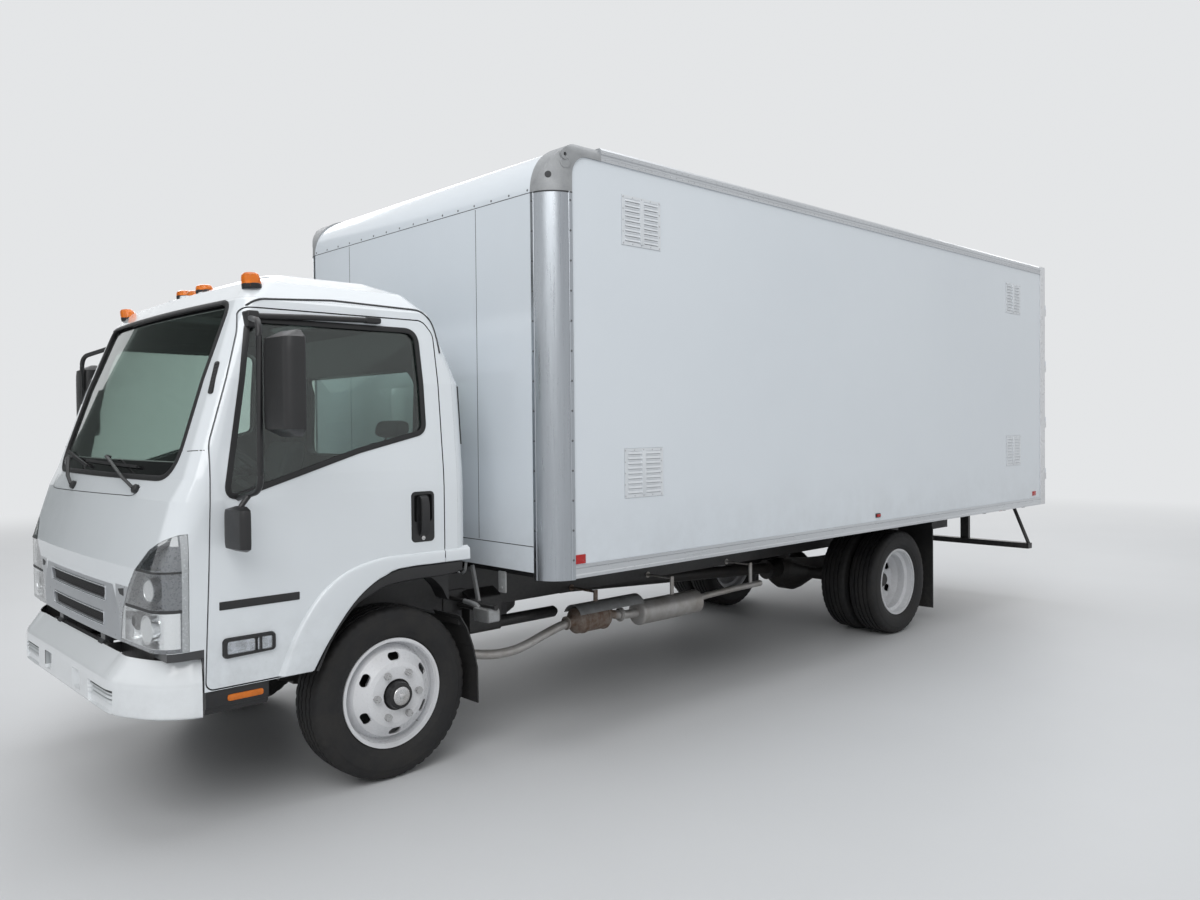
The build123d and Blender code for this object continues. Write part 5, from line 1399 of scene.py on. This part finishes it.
def arch_rings(pairs, form, s, steps=6):
    """Rings across a band between two lines; form has each point's line, offset from it and x."""
    rings = []
    for pair in smooth(pairs, steps):
        outer = Vector((pair[0], pair[1]))
        inner = Vector((pair[2], pair[3]))
        across = (inner - outer).normalized()
        ring = []
        for share, offset, x in form:
            p = (inner if share else outer) + across * offset
            ring.append(Vector((s * x, AXLE_F + p.x, p.y)))
        rings.append(ring)
    return rings


def arches():
    mouldings = Piece()
    old = Skin("cab_mouldings")
    for s, side in SIDES:
        for name, pairs, body in (("arch_band", ARCH, f"cab_door_{side}"),
                ("arch_band_rear", ARCH_REAR, "cab")):
            band = Piece()
            band.loft(arch_rings(pairs, BAND, s))
            band.made(f"{name}_{side}", "cab_white", body, 50)
        mouldings.loft(arch_rings(FLARE, FLARE_FORM, s))
        mouldings.loft(arch_rings(LINER, LINER_FORM, s))
        rings = []
        for k in range(12):
            y = -3.692 + 0.262 * k / 11
            found = old.side(s, min(y, -3.255), 0.59)
            x = abs(found[0].x)
            rings.append([Vector((s * a, y, z)) for a, z in ((0.8, 0.604), (x - 0.002, 0.604), (x, 0.601),
                (x, 0.534), (x - 0.004, 0.529), (x - 0.01, 0.527), (x - 0.012, 0.515), (x - 0.022, 0.502),
                (0.9, 0.5), (0.8, 0.5))])
        mouldings.loft(rings)
    made = mouldings.made("flares_and_sills", "trim_black", "cab", 45)
    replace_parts(made, "cab_mouldings")


arches()


# Roof lamps, ribbed on a black foot
def roof_lamp_row():
    roof = Skin("cab_roof", "cab_shell")
    lenses, feet = Piece(), Piece()
    for x, high in ((-0.815, 0.052), (-0.13, 0.03), (0.0, 0.03), (0.13, 0.03), (0.815, 0.052)):
        at, out = roof.top(x, -3.41 if abs(x) > 0.5 else -3.35)
        out = (out + Vector((0, 0, 2))).normalized()
        half = (0.052, 0.036)
        rings = []
        for grow, lift in ((1.0, -0.012), (1.0, 0.006), (0.97, high * 0.5), (0.88, high * 0.82),
                (0.68, high * 0.97), (0.4, high)):
            ring = []
            for k in range(28):
                t = math.tau * k / 28
                reach = Vector((math.copysign(abs(math.cos(t)) ** 0.8, math.cos(t)) * half[0],
                    math.copysign(abs(math.sin(t)) ** 0.8, math.sin(t)) * half[1], 0))
                ring.append(at + reach * grow * (1.0 if k % 2 else 0.985) + out * lift)
            rings.append(ring)
        lenses.loft(rings)
        rings = []
        for grow, lift in ((1.03, -0.016), (1.03, 0.001), (0.98, 0.004)):
            rings.append([at + Vector((math.cos(math.tau * k / 28) * half[0],
                math.sin(math.tau * k / 28) * half[1], 0)) * grow * 1.04 + out * lift for k in range(28)])
        feet.loft(rings)
    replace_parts(lenses.made("roof_lamp_lenses", "amber", "cab", 40), "roof_lamps")
    feet.made("roof_lamp_feet", "seal_black", "cab")


roof_lamp_row()


def lamp_dividers():
    """Dark lines across each headlamp, round its corner."""
    for s, side in SIDES:
        lens = Skin("headlamp_lenses")
        lines = Piece()
        for z, width in ((0.944, 0.013), (1.098, 0.009)):
            hits = [lens.front(s * (0.6 + 0.02 * k), z) for k in range(17)]
            hits = [h for h in hits if h and h[0].y < -3.862]
            hits += found_only([lens.side(s, -3.86 + 0.0145 * k, z) for k in range(6)])
            lines.seal(hits, width, 0.0012, closed=False, sink=0.001)
        lines.made(f"lamp_dividers_{side}", "groove", "cab")


lamp_dividers()


def casting_hole_shades():
    # A thin dark disc of painted shade stands for each casting's hole; the bosses are raised rings.
    hole_shades, bosses = Piece(), Piece()
    castings = Skin("corner_castings")
    for s, _ in SIDES:
        out = Vector((s * 0.666, -0.746, 0))
        found = castings.hit(Vector((s * 1.243, -2.086, 2.907)) + out * 0.3, -out)
        if found:
            hole_shades.lathe(found[0], found[1], [(-0.002, 0.017), (0.0008, 0.017), (0.001, 0.014)], 24)
        out = Vector((s * 0.966, -0.258, 0))
        found = castings.hit(Vector((s * 1.29, -2.011, 2.971)) + out * 0.3, -out)
        if found:
            bosses.lathe(found[0], found[1], [(-0.004, 0.03), (0.0015, 0.03), (0.0025, 0.028),
                (0.0025, 0.022), (0.0005, 0.021)], 28)
    hole_shades.made("casting_hole_shades", "groove", "chassis")
    bosses.made("casting_bosses", "casting", "chassis")


casting_hole_shades()


def behind_cab():
    """A hook, a strap and a bracket on the body's front edge, and stays with a small tank and its pipe."""
    black, grey = Piece(), Piece()
    face = -2.104
    hook = [Vector((0.452, face - 0.004, 0.945)), Vector((0.452, face - 0.01, 0.895))]
    hook += [Vector((0.499 - 0.047 * math.cos(t), face - 0.012, 0.89 - 0.04 * math.sin(t)))
        for t in [math.pi * k / 8 for k in range(9)]]
    hook += [Vector((0.546, face - 0.01, 0.895)), Vector((0.546, face - 0.004, 0.945))]
    grey.tube(hook, 0.008, 10)
    grey.plate((0.499, face, 0.945), (1, 0, 0), (0, -1, 0), (0.13, 0.026), 0.005, 0.004, 0.003)
    grey.plate((0.624, face - 0.006, 0.808), (0.052, 0, -0.18), (0, -1, 0), (0.2, 0.026), 0.005, 0.005,
        0.008)
    grey.plate((0.862, face, 0.842), (0, 0, 1), (0, -1, 0), (0.112, 0.06), 0.005, 0.006, 0.003)
    grey.lathe((0.862, face - 0.004, 0.812), (0, -1, 0), [(0, 0.009), (0.006, 0.009), (0.007, 0.007)], 6)
    y = face - 0.03
    black.tube([(0.42, y, 0.705), (0.62, y, 0.705), (0.845, y, 0.705)], 0.013, 12)
    black.tube([(0.42, y + 0.05, 0.66), (0.62, y + 0.045, 0.66), (0.78, y + 0.03, 0.668)], 0.01, 10)
    black.plate((0.427, y + 0.02, 0.69), (0, 1, 0), (1, 0, 0), (0.15, 0.12), 0.006, 0.008)
    grey.tube([(0.59, y - 0.022, 0.712), (0.64, y - 0.024, 0.712), (0.692, y - 0.022, 0.706),
        (0.712, y - 0.018, 0.694), (0.716, y - 0.012, 0.676)], 0.014, 14)
    ring = arc_points([(0.69, 0.626), (0.832, 0.626), (0.832, 0.696), (0.69, 0.696)], 0.014, steps=4)
    grey.loft([[Vector((0.761 + (p.x - 0.761) * g, yy, 0.661 + (p.y - 0.661) * g)) for p in ring] for yy,
        g in ((y - 0.042, 0.9), (y - 0.038, 1.0), (y + 0.03, 1.0), (y + 0.034, 0.9))])
    ring = arc_points([(0.424, 0.485), (0.5, 0.5), (0.5, 0.7), (0.424, 0.74)],
        [0.0, 0.02, 0.02, 0.0], steps=4)
    black.loft([[Vector((p.x, yy, p.y)) for p in ring] for yy in (-2.06, -2.055, -1.845, -1.84)])
    black.lathe((0.445, -1.86, 0.53), (0, 1, 0), [(0, 0.02), (0.03, 0.034), (0.46, 0.034), (0.48, 0.02)],
        20)
    black.made("stay_arms", "chassis_black", "chassis")
    grey.made("stay_fittings", "primer_grey", "chassis")


def gearbox():
    """The bell housing and gearbox case that hang behind the engine."""
    case = Piece()
    case.lathe((0, -2.3, 0.53), (0, 1, 0), [(0, 0.15), (0.02, 0.185), (0.1, 0.18), (0.19, 0.135),
        (0.22, 0.128), (0.23, 0.138), (0.25, 0.138), (0.26, 0.126), (0.62, 0.115), (0.64, 0.122),
        (0.66, 0.122), (0.68, 0.09), (0.86, 0.07), (0.92, 0.045)], 40)
    for k in range(8):
        t = math.tau * k / 8
        case.lathe((0.15 * math.cos(t), -2.2, 0.53 + 0.15 * math.sin(t)), (0, 1, 0),
            [(0, 0.01), (0.022, 0.01), (0.024, 0.008)], 6)
    case.plate((0, -1.9, 0.412), (0, 1, 0), (0, 0, -1), (0.3, 0.2), 0.012, 0.02, 0.02, 0.003)
    case.made("gearbox_case", "engine_iron", "chassis")


def exhaust():
    """The pipe, the canister with its heat shield, the muffler and the tail pipe, hung from the rail."""
    x = 0.64
    parts = Piece()
    route = smooth([(0.285, -2.3, 0.5), (0.44, -2.255, 0.47), (0.57, -2.17, 0.43),
        (x, -2.04, 0.408), (x, -1.9, 0.399), (x, -1.79, 0.412), (x, -1.64, 0.452), (x, -1.53, 0.48),
        (x, -1.44, 0.494)], 6)
    parts.tube(route, 0.026, 18)
    parts.lathe((x, -1.47, 0.494), (0, 1, 0), [(0, 0.04), (0.008, 0.04), (0.01, 0.028)], 24)
    parts.lathe((x, -1.455, 0.497), (0, 1, 0), [(0, 0.028), (0.025, 0.034), (0.05, 0.068), (0.06, 0.076),
        (0.1, 0.076), (0.104, 0.081), (0.114, 0.081), (0.118, 0.076), (0.27, 0.076), (0.274, 0.081),
        (0.284, 0.081), (0.288, 0.076), (0.305, 0.068), (0.33, 0.036), (0.36, 0.028)], 40)
    parts.tube([(x, -1.11, 0.497), (x, -1.03, 0.48), (x, -0.95, 0.472), (x, -0.86, 0.47)], 0.027, 18)
    parts.lathe((x, -1.03, 0.482), (0, 1, -0.12), [(0, 0.038), (0.007, 0.038), (0.009, 0.044),
        (0.016, 0.044), (0.018, 0.03)], 24)
    parts.lathe((x, -0.875, 0.468), (0, 1, 0), [(0, 0.03), (0.003, 0.068), (0.01, 0.076), (0.018, 0.079),
        (0.026, 0.077), (0.556, 0.077), (0.564, 0.079), (0.572, 0.076), (0.58, 0.068), (0.583, 0.03)], 48)
    parts.tube([(x, -0.3, 0.48), (x, -0.18, 0.49), (x, 0.12, 0.5), (x, 0.42, 0.502)], 0.022, 16)
    for y, low in ((-1.23, 0.565), (-0.54, 0.54), (0.3, 0.518)):
        parts.plate((x + 0.004, y, (low + 0.656) / 2), (0, 0, 1), (1, 0, 0), (0.656 - low + 0.012, 0.03),
            0.005, 0.003, 0.004)
        parts.plate(((0.421 + x) / 2 + 0.004, y, 0.65), (1, 0, 0), (0, 0, 1), (x - 0.41, 0.03), 0.005,
            0.003, 0.004)
        parts.lathe((0.425, y, 0.65), (1, 0, 0), [(0, 0.02), (0.004, 0.02)], 20)
    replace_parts(parts.made("exhaust_line", "exhaust", "chassis", 40), "exhaust")
    shield = Piece()
    rings = []
    for yy in (-1.415, -1.4, -1.05, -0.875):
        arc = [Vector((x + 0.084 * math.cos(t), yy, 0.505 + 0.09 * math.sin(t)))
            for t in [math.radians(d) for d in range(25, 156, 10)]]
        back = [Vector((x + 0.0815 * math.cos(t), yy, 0.505 + 0.0875 * math.sin(t)))
            for t in [math.radians(d) for d in range(155, 24, -10)]]
        rings.append(arc + back)
    shield.loft(rings)
    shield.made("heat_shield", "primer_grey", "chassis")


gearbox()
exhaust()
behind_cab()


# Camera, light and floor

def camera():
    yaw, pitch, roll = 0.7593, -0.0179, -0.0096
    forward = Vector((-math.cos(yaw) * math.cos(pitch), math.sin(yaw) * math.cos(pitch), math.sin(pitch)))
    right = forward.cross(Vector((0, 0, 1))).normalized()
    up = right.cross(forward)
    r = right * math.cos(roll) + up * math.sin(roll)
    u = up * math.cos(roll) - right * math.sin(roll)
    data = bpy.data.cameras.new("camera")
    data.lens = 28.2
    data.sensor_width = 36
    data.shift_y = -0.00625
    data.clip_end = 200
    made = bpy.data.objects.new("camera", data)
    made.matrix_world = Matrix((
        (r.x, u.x, -forward.x, 4.8025),
        (r.y, u.y, -forward.y, -5.1271),
        (r.z, u.z, -forward.z, 1.6596),
        (0, 0, 0, 1),
    ))
    bpy.context.scene.collection.objects.link(made)
    bpy.context.scene.camera = made


def area_light(name, at, aim, size, power, colour=(1, 1, 1)):
    data = bpy.data.lights.new(name, "AREA")
    data.shape = "RECTANGLE"
    data.size, data.size_y = size
    data.energy = power
    data.color = colour
    made = bpy.data.objects.new(name, data)
    made.location = at
    made.rotation_mode = "QUATERNION"
    made.rotation_quaternion = (Vector(aim) - Vector(at)).to_track_quat("-Z", "Y")
    bpy.context.scene.collection.objects.link(made)


def stage():
    world = bpy.data.worlds.new("studio")
    bpy.context.scene.world = world
    world.use_nodes = True
    t = world.node_tree
    back = t.nodes["Background"]
    path = t.nodes.new("ShaderNodeLightPath")
    seen = t.nodes.new("ShaderNodeMath")
    seen.operation = "MAXIMUM"
    t.links.new(path.outputs["Is Camera Ray"], seen.inputs[0])
    t.links.new(path.outputs["Is Transmission Ray"], seen.inputs[1])
    mirrored = t.nodes.new("ShaderNodeMath")
    mirrored.operation = "MAXIMUM"
    t.links.new(seen.outputs[0], mirrored.inputs[0])
    t.links.new(path.outputs["Is Glossy Ray"], mirrored.inputs[1])
    level = t.nodes.new("ShaderNodeMapRange")
    t.links.new(mirrored.outputs[0], level.inputs["Value"])
    level.inputs["To Min"].default_value = 0.46
    level.inputs["To Max"].default_value = 0.8
    t.links.new(level.outputs[0], back.inputs["Strength"])
    back.inputs["Color"].default_value = (0.97, 0.985, 1.0, 1)
    area_light("key", (7, -9, 9), (0, -1, 1.2), (8, 8), 640)
    area_light("top", (0, 0, 11), (0, 0, 0), (9, 12), 480, (0.97, 0.98, 1))
    area_light("side", (-10, 2, 6), (0, 1, 1), (7, 5), 240)
    area_light("rear", (-3, 13, 6), (0, 1, 1), (8, 5), 260)
    flag = bpy.data.meshes.new("studio_flag")
    flag.from_pydata([(-13, -17, 0), (-13, -4.5, 0), (-13, -4.5, 9), (-13, -17, 9)], [], [(0, 1, 2, 3)])
    screen = bpy.data.objects.new("studio_flag", flag)
    screen.visible_camera = False
    screen.visible_shadow = False
    screen.visible_diffuse = False
    bpy.context.scene.collection.objects.link(screen)
    dull = Tree("flag_dull")
    dull.put("Base Color", dull.mix(dull.noise(0.6, 3), (0.05, 0.06, 0.055), (0.09, 0.1, 0.095)))
    dull.put("Roughness", 0.9)
    flag.materials.append(dull.mat)
    mesh = bpy.data.meshes.new("studio_floor")
    s = 60
    mesh.from_pydata([(-s, -s, 0), (s, -s, 0), (s, s, 0), (-s, s, 0)], [], [(0, 1, 2, 3)])
    floor = bpy.data.objects.new("studio_floor", mesh)
    bpy.context.scene.collection.objects.link(floor)
    floor.location.z = -0.0005
    tree = Tree("floor_pale")
    tree.put("Base Color", tree.mix(tree.noise(0.8, 3), (0.6, 0.61, 0.62), (0.64, 0.65, 0.66)))
    tree.put("Roughness", 0.55)
    tree.put("Normal", tree.bump(tree.noise(60, 4), 0.0006))
    far = tree.new("VectorMath", operation="LENGTH")
    tree.wire(tree.coord, far.inputs[0])
    glow = tree.new("Emission")
    glow.inputs["Color"].default_value = (0.97, 0.985, 1.0, 1)
    glow.inputs["Strength"].default_value = 0.8
    shader = tree.new("MixShader")
    tree.wire(tree.ramp(far.outputs["Value"], 8.0, 17.0, smooth=True), shader.inputs[0])
    tree.wire(tree.bsdf.outputs[0], shader.inputs[1])
    tree.wire(glow.outputs[0], shader.inputs[2])
    tree.wire(shader.outputs[0], tree.t.nodes["Material Output"].inputs["Surface"])
    mesh.materials.append(tree.mat)


camera()
stage()
bpy.context.scene.view_settings.view_transform = "Standard"
